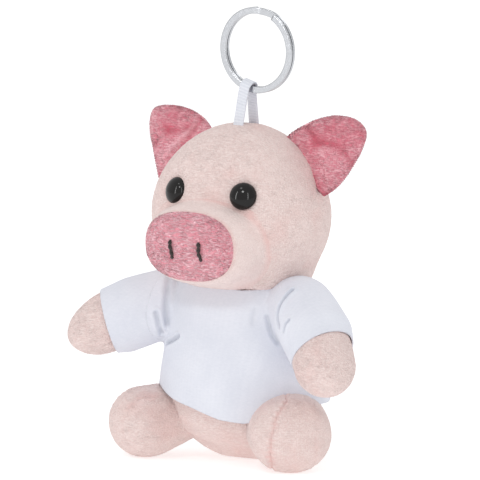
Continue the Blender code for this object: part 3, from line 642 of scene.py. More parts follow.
# Painted shade under the chin: the head's lowest part deepens along the collar.
shade_and_blotch_layer = head.verts.layers.float.new("painted_shade_and_blotch")
for vert in head.verts:
    vert[shade_and_blotch_layer] = 0.5 * smooth_step(0.054 - vert.co.z, 0, 0.004)
napped(head, head_lie, HEAD_PILE, chosen=lambda spot: spot.z > 0.0505)
head_bag = finished("head_bag", head, pink_plush, "torso", ["head_cover", "head_filling"])


# Muzzle: a band of pink plush sewn round the face and filled. Its front edge is sewn to the snout.

MUZZLE_BACK = -0.01144
SNOUT_FRONT = -0.0276
SNOUT_HALF = Vector((0.0155, 0, 0.0101))
MUZZLE_HALF = Vector((0.0184, 0, 0.0124))
MUZZLE_SPREAD = ((0.0, 0.7), (0.4, 1.0), (0.62, 0.82), (0.8, 0.55), (0.93, 0.24), (1.0, 0.0))
MUZZLE_CORE = Vector((0, -0.008, MUZZLE_LEVEL))
MUZZLE_SEAM = (0.0203, 0.0145, 0.0146)
MUZZLE_FOLD = 0.0016
CHIN_FULL = 0.0020
SNOUT_SQUARE = 2.35
MUZZLE_PILE = (0.0004, 0.00003)


def tube_blank(facets, rings):
    """An open upright tube of a unit radius and length, in even rings."""
    bm = bmesh.new()
    bmesh.ops.create_cone(bm, cap_ends=False, segments=facets, radius1=1, radius2=1, depth=1)
    upright = [edge for edge in bm.edges if abs(edge.verts[0].co.z - edge.verts[1].co.z) > 0.5]
    bmesh.ops.subdivide_edges(bm, edges=upright, cuts=rings - 1)
    return bm


def capped(bm):
    bmesh.ops.holes_fill(bm, edges=bm.edges, sides=0)
    bmesh.ops.recalc_face_normals(bm, faces=bm.faces)
    bm.normal_update()
    return bm


def rim_reach(angle):
    """How far the snout's rim lies beyond an oval at an angle: its corners are a little full."""
    return (abs(math.cos(angle)) ** SNOUT_SQUARE
            + abs(math.sin(angle)) ** SNOUT_SQUARE) ** (-1 / SNOUT_SQUARE)


def in_face(spot):
    """Less than 0 inside the head or the muzzle; the fold between them is filled round."""
    run = (MUZZLE_BACK - spot.y) / (MUZZLE_BACK - SNOUT_FRONT)
    wide = between(run, MUZZLE_SPREAD)
    half_width = SNOUT_HALF.x + (MUZZLE_HALF.x - SNOUT_HALF.x) * wide
    below = CHIN_FULL * smooth_step(MUZZLE_LEVEL - spot.z, 0, 0.006) * smooth_step(0.5 - run, 0, 0.4)
    half_height = SNOUT_HALF.z + (MUZZLE_HALF.z - SNOUT_HALF.z) * wide + below
    across = spot.x / half_width
    up = (spot.z - MUZZLE_LEVEL) / half_height
    past = math.hypot(across, up) / rim_reach(math.atan2(up, across)) - 1
    of_muzzle = past * math.sqrt(half_width * half_height)
    of_head = (head_share(spot) - 1) * 0.022
    close = max(MUZZLE_FOLD - abs(of_muzzle - of_head), 0) / MUZZLE_FOLD
    return min(of_muzzle, of_head) - close * close * MUZZLE_FOLD / 4


def muzzle_form(point):
    """The tube runs from the head, at -0.5, to the snout's rim, at 0.5."""
    angle = math.atan2(point.y, point.x)
    reach = rim_reach(angle)
    front = Vector((SNOUT_HALF.x * math.cos(angle) * reach, SNOUT_FRONT,
                    MUZZLE_LEVEL + SNOUT_HALF.z * math.sin(angle) * reach))
    share = 0.5 - point.z
    if share < 0.001:
        return front
    high = MUZZLE_SEAM[1] if point.y > 0 else MUZZLE_SEAM[2]
    rest = Vector((MUZZLE_SEAM[0] * math.cos(angle), -HEAD_HALF.y, MUZZLE_LEVEL + high * math.sin(angle)))
    rest.y *= (1 - (math.cos(angle) * 0.62) ** 2) * (1 - 0.36 * max(-math.sin(angle), 0))
    towards = front.lerp(rest, share) - MUZZLE_CORE
    low, high = 0.4, 1.6
    for step in range(13):
        middle = (low + high) / 2
        if in_face(MUZZLE_CORE + towards * middle) < 0:
            low = middle
        else:
            high = middle
    spot = MUZZLE_CORE + towards * low
    sunk = (0.0002 + 0.0003 * abs(math.cos(angle))) * smooth_step(share, 0.9, 1) + eye_dent(spot)
    return spot - towards.normalized() * sunk


band = drawn(tube_blank(220, 34), muzzle_form)
capped(softened(band, 3, lambda spot: spot.y > SNOUT_FRONT + 0.0006))
# Painted shade in the fold where the band meets the head and at the snout's seam; the band's middle, away
# from both, is paler.
shade_and_blotch_layer = band.verts.layers.float.new("painted_shade_and_blotch")
pale_tone_and_highlight_layer = band.verts.layers.float.new("pale_tone_and_highlight")
for vert in band.verts:
    edge = smooth_step((head_share(vert.co) - 1) * -0.022, -0.0009, 0.0001)
    front = smooth_step(-vert.co.y, 0.0262, 0.0276)
    vert[shade_and_blotch_layer] = 0.3 * front + 0.35 * edge
    vert[pale_tone_and_highlight_layer] = 0.4 * (1 - edge) * (1 - front)
napped(band, head_lie, MUZZLE_PILE, chosen=lambda spot: spot.y > SNOUT_FRONT + 0.0001)
muzzle_bag = finished("muzzle_bag", band, pink_plush, "torso", ["muzzle_band", "muzzle_filling"])


# Snout: an oval of rose plush with a longer pile, sewn into the front of the muzzle and domed by the
# filling behind it.

SNOUT_DOME = 0.0024
SNOUT_THICK = 0.0011
SNOUT_EDGE = 0.0007
SNOUT_SEWN = 0.0001
SNOUT_PILE = (0.00075, 0.00018)
NOSTRIL_OUT = 0.0049
NOSTRIL_SHIFT = 0.0005
NOSTRIL_LEVEL = 0.0640
SNOUT_ALONG = (0.75, 0.1, 0.6)
# Its third colour is the one that its painted shade deepens to.
rose_snout = plush("rose_snout", tinted(244, 148, 164), tinted(255, 206, 214), tinted(232, 132, 148),
                   SNOUT_ALONG, coarse=0.0010, stroke=0.6)


def snout_form(point):
    """A flat square of cloth drawn into a domed oval."""
    across = point.x * math.sqrt(1 - point.y ** 2 / 2)
    up = point.y * math.sqrt(1 - point.x ** 2 / 2)
    level = min(math.hypot(across, up), 1)
    dome = SNOUT_DOME * (1 - level ** 2) + SNOUT_EDGE * (1 - level ** 8)
    reach = rim_reach(math.atan2(up, across))
    return Vector((across * reach * (SNOUT_HALF.x - SNOUT_SEWN), SNOUT_FRONT - SNOUT_SEWN - dome,
                   MUZZLE_LEVEL + up * reach * (SNOUT_HALF.z - SNOUT_SEWN)))


snout = bmesh.new()
bmesh.ops.create_grid(snout, x_segments=78, y_segments=60, size=1)
drawn(snout, snout_form)
if sum(face.normal.y for face in snout.faces) > 0:
    bmesh.ops.reverse_faces(snout, faces=snout.faces)
rim = [edge for edge in snout.edges if edge.is_boundary]
back = bmesh.ops.extrude_edge_only(snout, edges=rim)["geom"]
bmesh.ops.translate(snout, verts=[v for v in back if isinstance(v, bmesh.types.BMVert)],
                    vec=(0, SNOUT_THICK, 0))
capped(snout)
# Painted shade round the nostril stitches, where they draw the cloth in.
shade_and_blotch_layer = snout.verts.layers.float.new("painted_shade_and_blotch")
for vert in snout.verts:
    for stitch in (-1, 1):
        near = math.hypot((vert.co.x - stitch * NOSTRIL_OUT - NOSTRIL_SHIFT) / 0.0012,
                          (vert.co.z - NOSTRIL_LEVEL) / 0.0034)
        vert.co.y += 0.00035 * math.exp(-near ** 4) if vert.co.y < SNOUT_FRONT else 0
        vert[shade_and_blotch_layer] += 0.35 * math.exp(-near ** 2)
napped(snout, lambda spot: SNOUT_ALONG, SNOUT_PILE, worn=0.5, chosen=lambda spot: spot.y < SNOUT_FRONT)
snout_oval = finished("snout_oval", snout, rose_snout, "torso", ["snout_disc"])


# Nostrils: two upright stitches of dark brown thread, each two plies laid round each other.

NOSTRIL_HALF = 0.0028
NOSTRIL_PLY = 0.00036
NOSTRIL_LAY = 0.00024
brown_thread = Finish("brown_thread", Roughness=0.65, Sheen_Weight=0.3)
fibre = brown_thread.cloud(brown_thread.combed((0.3, 0, 1), 5.0), 0.0001, 3.0)
brown_thread.set(Base_Color=brown_thread.mix(brown_thread.level(fibre, 0.3, 0.7), tinted(20, 12, 12),
                                             tinted(56, 38, 35)))
brown_thread.bump(fibre, 0.00006)


def joined(meshes):
    """One mesh of several."""
    whole = bmesh.new()
    for bm in meshes:
        part = bpy.data.meshes.new("part")
        bm.to_mesh(part)
        bm.free()
        whole.from_mesh(part)
        bpy.data.meshes.remove(part)
    return whole


def snout_face(across, up):
    """How far forward the snout's cloth lies."""
    level = math.hypot(across / SNOUT_HALF.x, (up - MUZZLE_LEVEL) / SNOUT_HALF.z)
    return SNOUT_FRONT - SNOUT_SEWN - SNOUT_DOME * (1 - level ** 2) - SNOUT_EDGE * (1 - level ** 8)


for side, left in SIDES:
    plies = []
    for ply in (0, 1):

        def strand_form(point):
            share = point.z + 0.5
            up = NOSTRIL_LEVEL + NOSTRIL_HALF * 2 * point.z
            wave = 0.00014 * math.sin(share * 8 + left) + NOSTRIL_SHIFT - 0.0008 * point.z
            turn = share * math.tau * 1.8 + ply * math.pi
            across = NOSTRIL_OUT * left + wave + NOSTRIL_LAY * math.cos(turn)
            sunk = 0.0006 * (abs(point.z) * 2) ** 6
            out = snout_face(across, up) - 0.00022 + sunk + NOSTRIL_LAY * math.sin(turn)
            return Vector((across + point.x * NOSTRIL_PLY, out + point.y * NOSTRIL_PLY, up))

        plies.append(capped(drawn(tube_blank(10, 28), strand_form)))
    finished("nostril_stitch_" + side, joined(plies), brown_thread, "torso", ["nostril_" + side])


# Eyes: two black moulded plastic domes on shanks that a washer locks behind the cloth.

eye_black = Finish("eye_black", IOR=1.37)
swirl = eye_black.cloud(eye_black.place(), 0.0009, 3.0)
eye_black.set(Base_Color=eye_black.mix(swirl, tinted(14, 12, 12), tinted(26, 24, 24)),
              Roughness=0.05 + swirl * 0.05)
for side, (seat, axis) in EYES.items():
    dome = bmesh.new()
    outline = [(0.0, EYE_HEIGHT + 0.0003)]
    outline += [(EYE_RADIUS * math.sin(angle), 0.0003 + EYE_HEIGHT * math.cos(angle))
                for angle in map(math.radians, range(6, 96, 6))]
    outline += [(EYE_RADIUS * 0.93, -0.0006), (0.0, -0.0006)]
    points = [dome.verts.new((radius, 0, height)) for radius, height in outline]
    edges = [dome.edges.new(pair) for pair in zip(points, points[1:])]
    bmesh.ops.spin(dome, geom=points + edges, axis=(0, 0, 1), cent=(0, 0, 0), dvec=(0, 0, 0),
                   angle=math.tau, steps=64, use_merge=True, use_duplicate=False)
    bmesh.ops.remove_doubles(dome, verts=dome.verts, dist=0.000002)
    turn = axis.to_track_quat("Z", "Y").to_matrix().to_4x4()
    place = Matrix.Translation(seat - axis * EYE_SUNK[side]) @ turn
    bmesh.ops.transform(dome, matrix=place, verts=dome.verts)
    bmesh.ops.recalc_face_normals(dome, faces=dome.faces)
    finished("eye_dome_" + side, dome, eye_black, "torso", ["eye_" + side])
washer_white = Finish("washer_white", Roughness=0.4)
grain = washer_white.cloud(washer_white.place(), 0.0006)
washer_white.set(Base_Color=washer_white.mix(grain, tinted(214, 214, 210), tinted(236, 236, 232)))
washer_white.bump(grain, 0.00002)
for side in EYES:
    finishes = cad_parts["eye_washer_" + side].data.materials
    finishes.clear()
    finishes.append(washer_white.material)


# Ears: two panels of crushed rose plush, sewn together round the edge, turned, and pinched into the
# head's seam at the root. The rolled rim and a raised pleat are painted paler, as highlights, and the
# fronts are creased across, with painted shade in the creases and at the root.

EAR_MIDDLE = Vector((0.019603, 0.002859, 0.084972))
EAR_CHORD = Vector((-0.7699, 0.1695, 0.6153))
EAR_FRONT = Vector((0.0447, -0.9474, 0.3170))
EAR_BLADE = Vector((0.6366, 0.2716, 0.7218))
EAR_TALL = 0.0213
EAR_THICK = 0.0044
EAR_PINCH = 0.4
EAR_CUP = 0.0012
EAR_SINK = 0.0018
EAR_SHAPE = {
    "left": {"tall": 0.0213, "half": 0.0115, "slide": 0.0005, "full": 1.73, "skew": 0.0060,
             "lean": 0.305, "lobes": (0.15, 0.0)},
    "right": {"tall": 0.0226, "half": 0.0112, "slide": -0.0015, "full": 1.65, "skew": 0.0030,
              "lean": 0.0, "lobes": (-0.08, 0.14)},
}
EAR_PILE = (0.0007, 0.00017)
# Its third colour is the one that its painted shade and blotches deepen to.
rose_ear = plush("rose_ear", tinted(222, 112, 132), tinted(255, 200, 208), tinted(212, 92, 112),
                 (-0.77, 0.17, 0.61), coarse=0.0009, stroke=0.45)

for side, left in SIDES:
    shape = EAR_SHAPE[side]

    def ear_form(point):
        """The ball's x runs along the root, y through the cloth and z up the blade."""
        up = abs(point.z)
        swell = EAR_PINCH + (1 - EAR_PINCH) * smooth_step(point.z, 0, 0.5)
        level = math.hypot(point.x, point.y)
        full = (1 - up ** shape["full"]) ** (1 / shape["full"]) / level if level * up else 1
        across = point.x * full
        thick = point.y * EAR_THICK / 2 * swell
        if point.z < 0:
            across *= 1 - 0.6 * up
        else:
            across *= 1 + shape["lobes"][0 if point.x < 0 else 1] * math.sin(math.pi * up)
        high = (shape["tall"] if point.z > 0 else EAR_SINK) * (1 + shape["lean"] * across)
        spot = EAR_MIDDLE + EAR_CHORD * (across * shape["half"] + shape["slide"] - shape["skew"] * up * up)
        spot += EAR_FRONT * (thick + EAR_CUP * across * across) + EAR_BLADE * point.z * high
        return spot

    ear = drawn(ball_blank(40), ear_form)
    shade_and_blotch_layer = ear.verts.layers.float.new("painted_shade_and_blotch")
    pale_tone_and_highlight_layer = ear.verts.layers.float.new("pale_tone_and_highlight")
    rests = [vert.co.copy() for vert in ear.verts]
    for vert, rest in zip(ear.verts, rests):
        away = rest - EAR_MIDDLE
        chord = away.dot(EAR_CHORD) / shape["half"]
        blade = away.dot(EAR_BLADE) / EAR_TALL
        facing = vert.normal.dot(EAR_FRONT)
        front = max(facing, 0)
        crease = math.exp(-((blade - 0.5 + 0.16 * chord + 0.05 * math.sin(chord * 5)) / 0.08) ** 2)
        second = math.exp(-((blade - 0.27 - 0.2 * chord) / 0.05) ** 2)
        pleat = 0
        if left < 0:
            pleat = (math.exp(-((blade - 0.36 - 0.08 * chord) / 0.035) ** 2)
                     * smooth_step(0.75 - abs(chord), 0, 0.3))
        crush = noise.noise(rest / 0.0028 + Vector((left * 3, 0, 0)))
        shift = -0.0006 * crease - 0.0003 * second + 0.0007 * pleat + 0.0003 * crush
        vert.co += vert.normal * (shift * front - 0.0003 * max(-facing, 0) * (0.5 + crush))
        # Painted shade in the creases and at the root, with random blotches from the patches and the crushed
        # pile.
        root = 1 - smooth_step(blade, 0.02, 0.12)
        patch = noise.noise(rest / 0.005 + Vector((0, left * 5, 0)))
        deep = front * (0.35 * crease + 0.15 * second + 0.3 * patch + 0.25 * crush) + 0.4 * root
        vert[shade_and_blotch_layer] = min(max(deep, 0), 1)
        # Painted highlight: the rolled rim, where the cloth turns away from the front, and the raised pleat
        # are made paler.
        rim = 1 - smooth_step(abs(facing), 0.1, 0.6)
        vert[pale_tone_and_highlight_layer] = min(0.55 * rim * smooth_step(blade, 0.1, 0.3) + 0.6 * pleat * front, 1)

    def ear_lie(spot):
        away = spot - EAR_MIDDLE
        blade = away.dot(EAR_BLADE) / EAR_TALL
        return EAR_CHORD * -1 + EAR_BLADE * (0.9 * blade - 0.4)

    napped(ear, ear_lie, EAR_PILE, worn=0.75)
    if left < 0:
        bmesh.ops.scale(ear, vec=(-1, 1, 1), verts=ear.verts)
        bmesh.ops.reverse_faces(ear, faces=ear.faces)
    leaf = finished("ear_leaf_" + side, ear, rose_ear, "ear_" + side,
                    ["ear_" + side + "_front", "ear_" + side + "_back"])


# Shirt: a small boat-necked shirt of white cotton jersey, its body and two sleeves sewn at the
# armholes. It is drawn as one skin and then parted at those seams into the body and two sleeves. A
# strip of the body's cloth runs on under each sleeve's root.

JERSEY = 0.0005
SHIRT_ROWS = ((0.006, 0.0262, 0.0220), (0.016, 0.0264, 0.0223), (0.026, 0.0254, 0.0215),
              (0.036, 0.0238, 0.0199), (0.046, 0.0226, 0.0189), (0.058, 0.0186, 0.0132))
SHIRT_NAPE = 0.0024
SHIRT_FLUTE = 0.0004
SHIRT_SKIN = 0.00062
HEM = ((-180, 0.0200), (-144, 0.0214), (-120, 0.0193), (-100, 0.0173), (-76, 0.0143), (-60, 0.0134),
       (-54, 0.0138), (-47, 0.0160), (-38, 0.0200), (-25, 0.0203), (-10, 0.0179), (2, 0.0179), (30, 0.0176),
       (50, 0.0165), (90, 0.0145), (130, 0.0155))
COLLAR = ((-165, 0.0541), (-145, 0.0537), (-123, 0.0534), (-108, 0.0529), (-96, 0.0522), (-63, 0.0514),
          (-39, 0.0518), (-20, 0.0537), (-4, 0.0549), (25, 0.0550), (60, 0.0544), (90, 0.0542),
          (120, 0.0543), (150, 0.0547), (180, 0.0547))
COLLAR_HALF = (0.0205, 0.0172)
COLLAR_RISE = 0.12
ARMHOLE = 0.0212
ARMPIT = 0.0009
SLEEVE_ROOT = 0.0088
ARM_AXIS = Vector((0.5446, 0.8387, 0))
ARM_DROP = math.radians(8)
ARM_CLEAR = 0.0003
FACING_INSET = 0.985
FACING_RING = (0.0079, 0.0125)
SLEEVE = {
    "left": {"rows": ((-0.27, 0.0046, 0.0010), (-0.18, 0.0074, 0.0010), (-0.08, 0.0088, 0.0012),
                      (0.0, 0.0094, 0.0015), (0.2, 0.0100, 0.0018), (0.6, 0.0104, 0.0025),
                      (0.84, 0.0096, 0.0018), (1.3, 0.0094, 0.0016)),
             "cuff": 0.84, "tilt": (0.064, 0.13)},
    "right": {"rows": ((-0.27, 0.0046, 0.0006), (-0.18, 0.0072, 0.0008), (-0.08, 0.0085, 0.0011),
                       (0.0, 0.0092, 0.0015), (0.22, 0.0102, 0.0015), (0.43, 0.0105, 0.0010),
                       (0.7, 0.0102, 0.0009), (0.83, 0.0095, 0.0002), (1.3, 0.0093, 0.0)),
              "cuff": 0.775, "tilt": (-0.146, 0.137)},
}
jersey = Finish("white_jersey", Sheen_Weight=0.15, Sheen_Roughness=0.5, Specular_IOR_Level=0.2)
wale = jersey.node("ShaderNodeTexWave",
                   {"wave_type": "BANDS", "bands_direction": "X", "wave_profile": "SIN"},
                   {"Vector": jersey.combed((0.8, -0.55, 0), 1.0), "Scale": 290.0, "Distortion": 1.5,
                    "Detail": 1.0, "Detail Scale": 3.0})
loop = jersey.cloud(jersey.combed((0, 0, 1), 3.0), 0.0005, 3.0)
broad = jersey.cloud(jersey.place(), 0.014, 2.0)
knit = wale * 0.1 + loop * 0.9
white = jersey.mix(jersey.level(knit * 0.35 + broad * 0.65, 0.25, 0.8), tinted(216, 219, 229),
                   tinted(230, 232, 240))
# Painted shade: the cloth is darkened along the pressed creases.
jersey.set(Base_Color=jersey.mix(jersey.mark("painted_crease_shade") * 0.55, white, tinted(176, 180, 190)),
           Roughness=0.84 + loop * 0.12)
jersey.bump(knit, 0.00002)


def around(spot, table):
    """A height by the angle round the body, from -180 to 180 degrees; the front is at -90."""
    wide, deep = SHIRT_ROWS[0][1:]
    return between(math.degrees(math.atan2(spot.y / deep, spot.x / wide)), table, period=360)


def collar_height(spot):
    """The collar follows the head's underside; beyond it the shoulders are left whole."""
    past = math.hypot(spot.x / COLLAR_HALF[0], spot.y / COLLAR_HALF[1]) - 1.03
    return around(spot, COLLAR) + max(past, 0) * COLLAR_RISE


def shirt_form(point):
    low, high = SHIRT_ROWS[0][0], SHIRT_ROWS[-1][0]
    level = low + (point.z + 0.5) * (high - low)
    wave = math.sin(math.atan2(point.y, point.x) * 9 + 0.6)
    flute = SHIRT_FLUTE * wave * smooth_step(0.03 - level, 0, 0.02)
    nape = SHIRT_NAPE * smooth_step(level, 0.046, 0.058) * max(point.y, 0)
    return Vector((point.x * (between(level, SHIRT_ROWS) + flute),
                   point.y * (between(level, SHIRT_ROWS, 2) + flute) + nape, level))


def melted(bm, voxel):
    """The outer skin of overlapping closed meshes, as one even mesh."""
    lump = bpy.data.objects.new("lump", bpy.data.meshes.new("lump"))
    bm.to_mesh(lump.data)
    bm.free()
    bpy.context.collection.objects.link(lump)
    step = lump.modifiers.new("skin", "REMESH")
    step.mode = "VOXEL"
    step.voxel_size = voxel
    bpy.context.view_layer.update()
    whole = bmesh.new()
    whole.from_object(lump, bpy.context.evaluated_depsgraph_get())
    bpy.data.objects.remove(lump, do_unlink=True)
    return whole


def sleeve_frame(side):
    """The shoulder, the arm's aim, and the way that the sleeve stands off the arm."""
    return ROOT[side], ARM[side]["aim"], ARM[side]["side"]


tubes = [capped(drawn(tube_blank(120, 60), shirt_form))]
for side in SLEEVE:
    root, aim, off = sleeve_frame(side)
    rows = SLEEVE[side]["rows"]
    turn = aim.to_track_quat("Z", "Y")

    def sleeve_form(point):
        share = rows[0][0] + (point.z + 0.5) * (rows[-1][0] - rows[0][0])
        middle = root + aim * share * ARM_RUN + off * between(share, rows, 2)
        return middle + turn @ Vector((point.x, point.y, 0)) * between(share, rows)

    tubes.append(capped(drawn(tube_blank(60, 30), sleeve_form)))
shirt = softened(melted(joined(tubes), SHIRT_SKIN), 10)


def cut(bm, field, clear=None, chosen=lambda spot: True):
    """Cut the skin along the line where a field over it is 0, and clear its "more" or "less" side."""
    home = bm.verts.layers.float_vector.new("home")
    near = [face for face in bm.faces if chosen(face.calc_center_median())]
    for vert in bm.verts:
        vert[home] = vert.co
        vert.co = Vector((vert.co.x, vert.co.y, field(vert.co)))
    parts = near + list({e for f in near for e in f.edges}) + list({v for f in near for v in f.verts})
    bmesh.ops.bisect_plane(bm, geom=parts, plane_co=(0, 0, 0), plane_no=(0, 0, 1), dist=1e-7,
                           clear_outer=clear == "more", clear_inner=clear == "less")
    for vert in bm.verts:
        vert.co = vert[home]
    bm.verts.layers.float_vector.remove(home)
    bm.normal_update()


def outside_sleeve(spot, side):
    """How far a point lies outside the sleeve's tube."""
    root, aim, off = sleeve_frame(side)
    rows = SLEEVE[side]["rows"]
    away = spot - root
    share = away.dot(aim) / ARM_RUN
    axis = aim * away.dot(aim) + off * between(share, rows, 2)
    return (away - axis).length - max(between(share, rows), SLEEVE_ROOT)


cut(shirt, lambda spot: min(spot.z - collar_height(spot), outside_sleeve(spot, "left") - ARMPIT,
                            outside_sleeve(spot, "right") - ARMPIT), "more")
cut(shirt, lambda spot: spot.z - around(spot, HEM) + max(abs(spot.x) - 0.027, 0) * 4, "less")
for side in SLEEVE:
    root, aim, off = sleeve_frame(side)
    lean, near = SLEEVE[side]["tilt"]
    cuff = root + aim * ARM_RUN * SLEEVE[side]["cuff"]
    cuff_normal = (aim + off * lean + off.cross(aim) * near).normalized()

    def by_arm(spot):
        away = spot - root
        along = away.dot(aim)
        return along > 0.008 and (away - aim * along).length < 0.0155

    cut(shirt, lambda spot: (spot - cuff).dot(cuff_normal), "more", by_arm)

# Each crease is a line of points in millimetres, then its width, its depth and the ridge beside it.
CREASES = (
    (((26.2, -13.2, 52.8), (25.0, -15.0, 50.8), (23.8, -16.2, 48.3), (23.6, -17.0, 45.7), (24.3, -17.6, 43.8),
      (25.2, -18.2, 42.5)), 0.00045, 0.0013, 0.0004),
    (((29.0, -19.2, 45.0), (28.0, -19.3, 43.8), (27.5, -19.5, 41.7)), 0.0004, 0.0009, 0.0003),
    (((17.0, -13.0, 44.2), (17.5, -12.9, 42.1), (18.3, -12.4, 38.9), (19.7, -11.3, 36.4)),
     0.0006, 0.0006, 0.0001),
    (((-19.1, -10.9, 51.9), (-17.8, -13.6, 49.2), (-17.3, -14.9, 45.6), (-17.1, -15.0, 43.0),
      (-17.3, -14.4, 39.4)), 0.0008, 0.0007, 0.0002),
    (((-19.1, -17.3, 42.8), (-18.9, -16.5, 40.1), (-19.4, -14.1, 36.5)), 0.0006, 0.0006, 0.0003),
    (((-17.9, -13.6, 33.6), (-13.8, -16.4, 35.2), (-10.8, -17.7, 36.8)), 0.0006, 0.0009, 0.0004),
    (((13.9, -14.8, 46.1), (13.7, -15.3, 44.1), (13.7, -15.5, 42.1)), 0.0009, 0.0003, 0.0),
)
# Painted shade: each crease's groove is marked, to darken the cloth along it.
crease_shade_layer = shirt.verts.layers.float.new("painted_crease_shade")
for line, width, depth, ridge in CREASES:
    line = [[c / 1000 for c in spot] for spot in line]
    middles = np.array([(edge.verts[0].co + edge.verts[1].co) / 2 for edge in shirt.edges])
    close = [edge for edge, far in zip(shirt.edges[:], distances(middles, line)) if far < 4 * width]
    bmesh.ops.subdivide_edges(shirt, edges=close, cuts=1, use_grid_fill=True)
    bmesh.ops.triangulate(shirt, faces=[face for face in shirt.faces if len(face.verts) > 4])
    shirt.normal_update()
    for vert, fall in zip(shirt.verts, pressed(shirt, line, width, depth, ridge)):
        vert[crease_shade_layer] = max(vert[crease_shade_layer], float(fall) * min(depth / 0.001, 1))


def past_armhole(side):
    """A field that is below 0 on the sleeve: it ends at the upright armhole and at the armpit's fold."""
    outward = 1 if side == "left" else -1
    return lambda spot: max(outside_sleeve(spot, side) - ARMPIT, ARMHOLE - spot.x * outward)


def lined(cloth):
    """Give a piece of cloth its thickness, inwards."""
    wall = cloth.modifiers.new("jersey", "SOLIDIFY")
    wall.thickness = JERSEY
    wall.offset = -1


facing = drawn(tube_blank(120, 60), lambda point: shirt_form(point) * FACING_INSET)
for side in SLEEVE:
    root, aim, off = sleeve_frame(side)
    field = past_armhole(side)
    sleeve = shirt.copy()
    cut(sleeve, field, "more")
    cut(shirt, field, "less", lambda spot: (spot - root).length < 0.04)
    cloth = finished("sleeve_cloth_" + side, sleeve, jersey, None, ["sleeve_" + side])
    lined(cloth)
    root - aim * 0.001
    root + aim * ARM_RUN * 0.6
    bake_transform(cloth)


def is_facing(spot):
    """In the strip of the body's cloth that runs on under each sleeve's root."""
    for side in SLEEVE:
        root, aim, off = sleeve_frame(side)
        away = spot - root
        ring = (away - aim * away.dot(aim)).length
        if away.dot(aim) > -0.008 and FACING_RING[0] < ring < FACING_RING[1] and away.length < 0.016:
            return past_armhole(side)(spot) < 0.001
    return False


outer = [face for face in facing.faces if not is_facing(face.calc_center_median())]
bmesh.ops.delete(facing, geom=outer, context="FACES")
shirt = joined([shirt, facing])
root, aim, off = sleeve_frame("left")
swung = Matrix.Rotation(ARM_DROP, 3, ARM_AXIS)
for vert in shirt.verts:
    away = swung.transposed() @ (vert.co - root)
    size, middle = arm_ring("left", away.dot(aim))
    out = away - middle
    if 0.006 < away.dot(aim) and 0 < out.length < size + ARM_CLEAR and size:
        vert.co = root + swung @ (middle + out.normalized() * (size + ARM_CLEAR))
shirt_cloth = finished("shirt_cloth", shirt, jersey, "torso", ["shirt"])
lined(shirt_cloth)


# Ribbon: a narrow white woven tape with ribs across it. Both ends are sewn into the crown, and its
# turn goes through the ring. It is made in two lengths: the two legs up from the crown, and the turn.

TAPE_WIDTH = 0.0034
TAPE_THICK = 0.0005
TAPE_RIB = 0.0009
HANG_POINT = Vector((0.0014, 0, 0.1082))
RING_LEAN = math.radians(16)
RING_UP = Vector((math.sin(RING_LEAN), 0, math.cos(RING_LEAN)))
RING_ALONG = Vector((math.cos(RING_LEAN), 0, -math.sin(RING_LEAN)))
TAPE_TURN = 0.00182
TAPE_FRONT = 0.0033
TAPE_BACK = 0.0048
tape_white = Finish("white_tape", Sheen_Weight=0.2, Sheen_Roughness=0.4, Specular_IOR_Level=0.3)
weave = tape_white.cloud(tape_white.combed((0, 0, 1), 2.5), 0.00025, 3.0)
across_rib = tape_white.mark("rib")
tape_white.set(Base_Color=tape_white.mix(tape_white.level(across_rib * 0.25 + weave * 0.5, 0.1, 0.9),
                                         tinted(214, 217, 226), tinted(240, 242, 248)),
               Roughness=0.6 + weave * 0.25)
tape_white.bump(across_rib * 0.3 + weave * 0.5, 0.00004)


def tape_route():
    """Points up the front leg, over the turn and down the back, each with the way of the tape's width."""
    middle = TAPE_TURN + TAPE_THICK / 2
    forward = Vector((0, -1, 0))
    foot = HANG_POINT - RING_UP * 0.0012
    spots = []
    crown_front = Vector((0, -TAPE_FRONT, HEAD_CENTRE.z + HEAD_HALF.z - 0.0012))
    crown_back = Vector((0, TAPE_BACK, HEAD_CENTRE.z + HEAD_HALF.z - 0.0012))
    across = Vector((1, 0, 0))
    for step in range(12):
        spots.append((crown_front.lerp(foot + forward * middle, step / 12),
                      across.lerp(RING_ALONG, step / 12)))
    for step in range(15):
        angle = math.pi * step / 14
        spot = HANG_POINT + forward * middle * math.cos(angle) + RING_UP * middle * math.sin(angle)
        spots.append((spot, RING_ALONG))
    for step in range(12):
        spots.append(((foot - forward * middle).lerp(crown_back, (step + 1) / 12),
                      RING_ALONG.lerp(across, (step + 1) / 12)))
    return spots


route = tape_route()
lengths = [0.0]
for (start, _), (end, _) in zip(route, route[1:]):
    lengths.append(lengths[-1] + (end - start).length)


def on_route(run, part):
    """The route's point, part 0, or the way of the tape's width, part 1, at a run along it."""
    return Vector([float(np.interp(run, lengths, [stop[part][axis] for stop in route]))
                   for axis in range(3)])


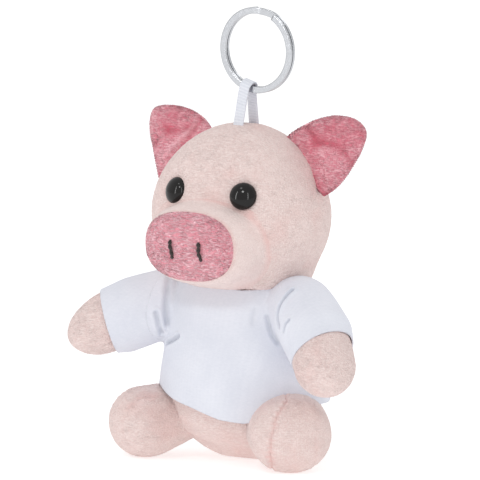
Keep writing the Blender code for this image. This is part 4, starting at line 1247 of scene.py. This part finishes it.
def tape(first, last):
    """The tape between two points of its route."""
    strip = tube_blank(20, 4 * (last - first))
    ribs = {}

    def tape_form(point):
        run = lengths[first] + (point.z + 0.5) * (lengths[last] - lengths[first])
        spot, wide = on_route(run, 0), on_route(run, 1)
        ahead = on_route(run + 0.0002, 0) - on_route(run - 0.0002, 0)
        out = ahead.normalized().cross(wide).normalized()
        rib = 0.5 + 0.5 * math.cos(math.tau * run / TAPE_RIB)
        edge = math.copysign(min(abs(point.x) * 1.05, 1), point.x)
        flat = math.copysign(min(abs(point.y) * 2, 1) ** 0.5, point.y)
        thick = TAPE_THICK / 2 * (0.8 + 0.2 * rib)
        spot = spot + wide * edge * TAPE_WIDTH / 2 * (0.97 + 0.03 * rib) + out * flat * thick
        ribs[tuple(round(c, 7) for c in spot)] = rib
        return spot

    capped(drawn(strip, tape_form))
    mark = strip.verts.layers.float.new("rib")
    for vert in strip.verts:
        vert[mark] = ribs.get(tuple(round(c, 7) for c in vert.co), 0.5)
    return strip


low = joined([tape(0, 8), tape(30, len(route) - 1)])
tape_low = finished("tape_legs", low, tape_white, None, ["ribbon_legs"])
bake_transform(tape_low)
tape_high = finished("tape_turn", tape(8, 30), tape_white, None, ["ribbon_bight"])
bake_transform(tape_high)


# Ring: a 25 mm split ring of flat nickel-plated steel wire with rounded edges, wound twice. It steps
# over from one turn to the other at the top.

RING_CENTRE = Vector((0.004584, 0, 0.119303))
RING_RADIUS = 0.01155
WIRE = (0.0019, 0.0008)
TURN_PITCH = 0.00124
RING_JOINT = math.radians(14)
RING_STEP = math.radians(26)
RING_SHARE = 2 * math.tau - RING_STEP - math.radians(6)
nickel = Finish("bright_nickel", Metallic=1.0, Roughness=0.22)
scuff = nickel.cloud(nickel.place(), 0.0004, 4.0, 0.6)
brush = nickel.cloud(nickel.combed((0, 1, 0), 0.12), 0.0006, 2.0)
nickel.set(Base_Color=nickel.mix(scuff, tinted(176, 178, 182), tinted(206, 208, 212)),
           Roughness=0.16 + scuff * 0.16)
nickel.bump(scuff * 0.4 + brush * 0.6, 0.000012)


def rounded(across, fullness, power):
    """A flat wire's half width at a point of a round one's outline, from -1 to 1."""
    return math.copysign(min(abs(across) * fullness, 1) ** power, across)


def wire_form(point):
    """The tube's height runs along the winding, and its x and y across the wire."""
    travel = (point.z + 0.5) * RING_SHARE
    angle = RING_JOINT + travel
    over = smooth_step(travel, math.tau - RING_STEP, math.tau)
    outward = RING_UP * math.cos(angle) + RING_ALONG * math.sin(angle)
    deep = rounded(point.x, 1.45, 0.5) * WIRE[0] / 2
    thick = rounded(point.y, 1.25, 0.7) * WIRE[1] / 2
    forward = Vector((0, -1, 0))
    middle = RING_CENTRE + forward * TURN_PITCH * (0.5 - over)
    return middle + outward * (RING_RADIUS + deep) + forward * thick


wire = capped(drawn(tube_blank(20, 340), wire_form))
finished("key_ring", wire, nickel, "ring", ["split_ring"])
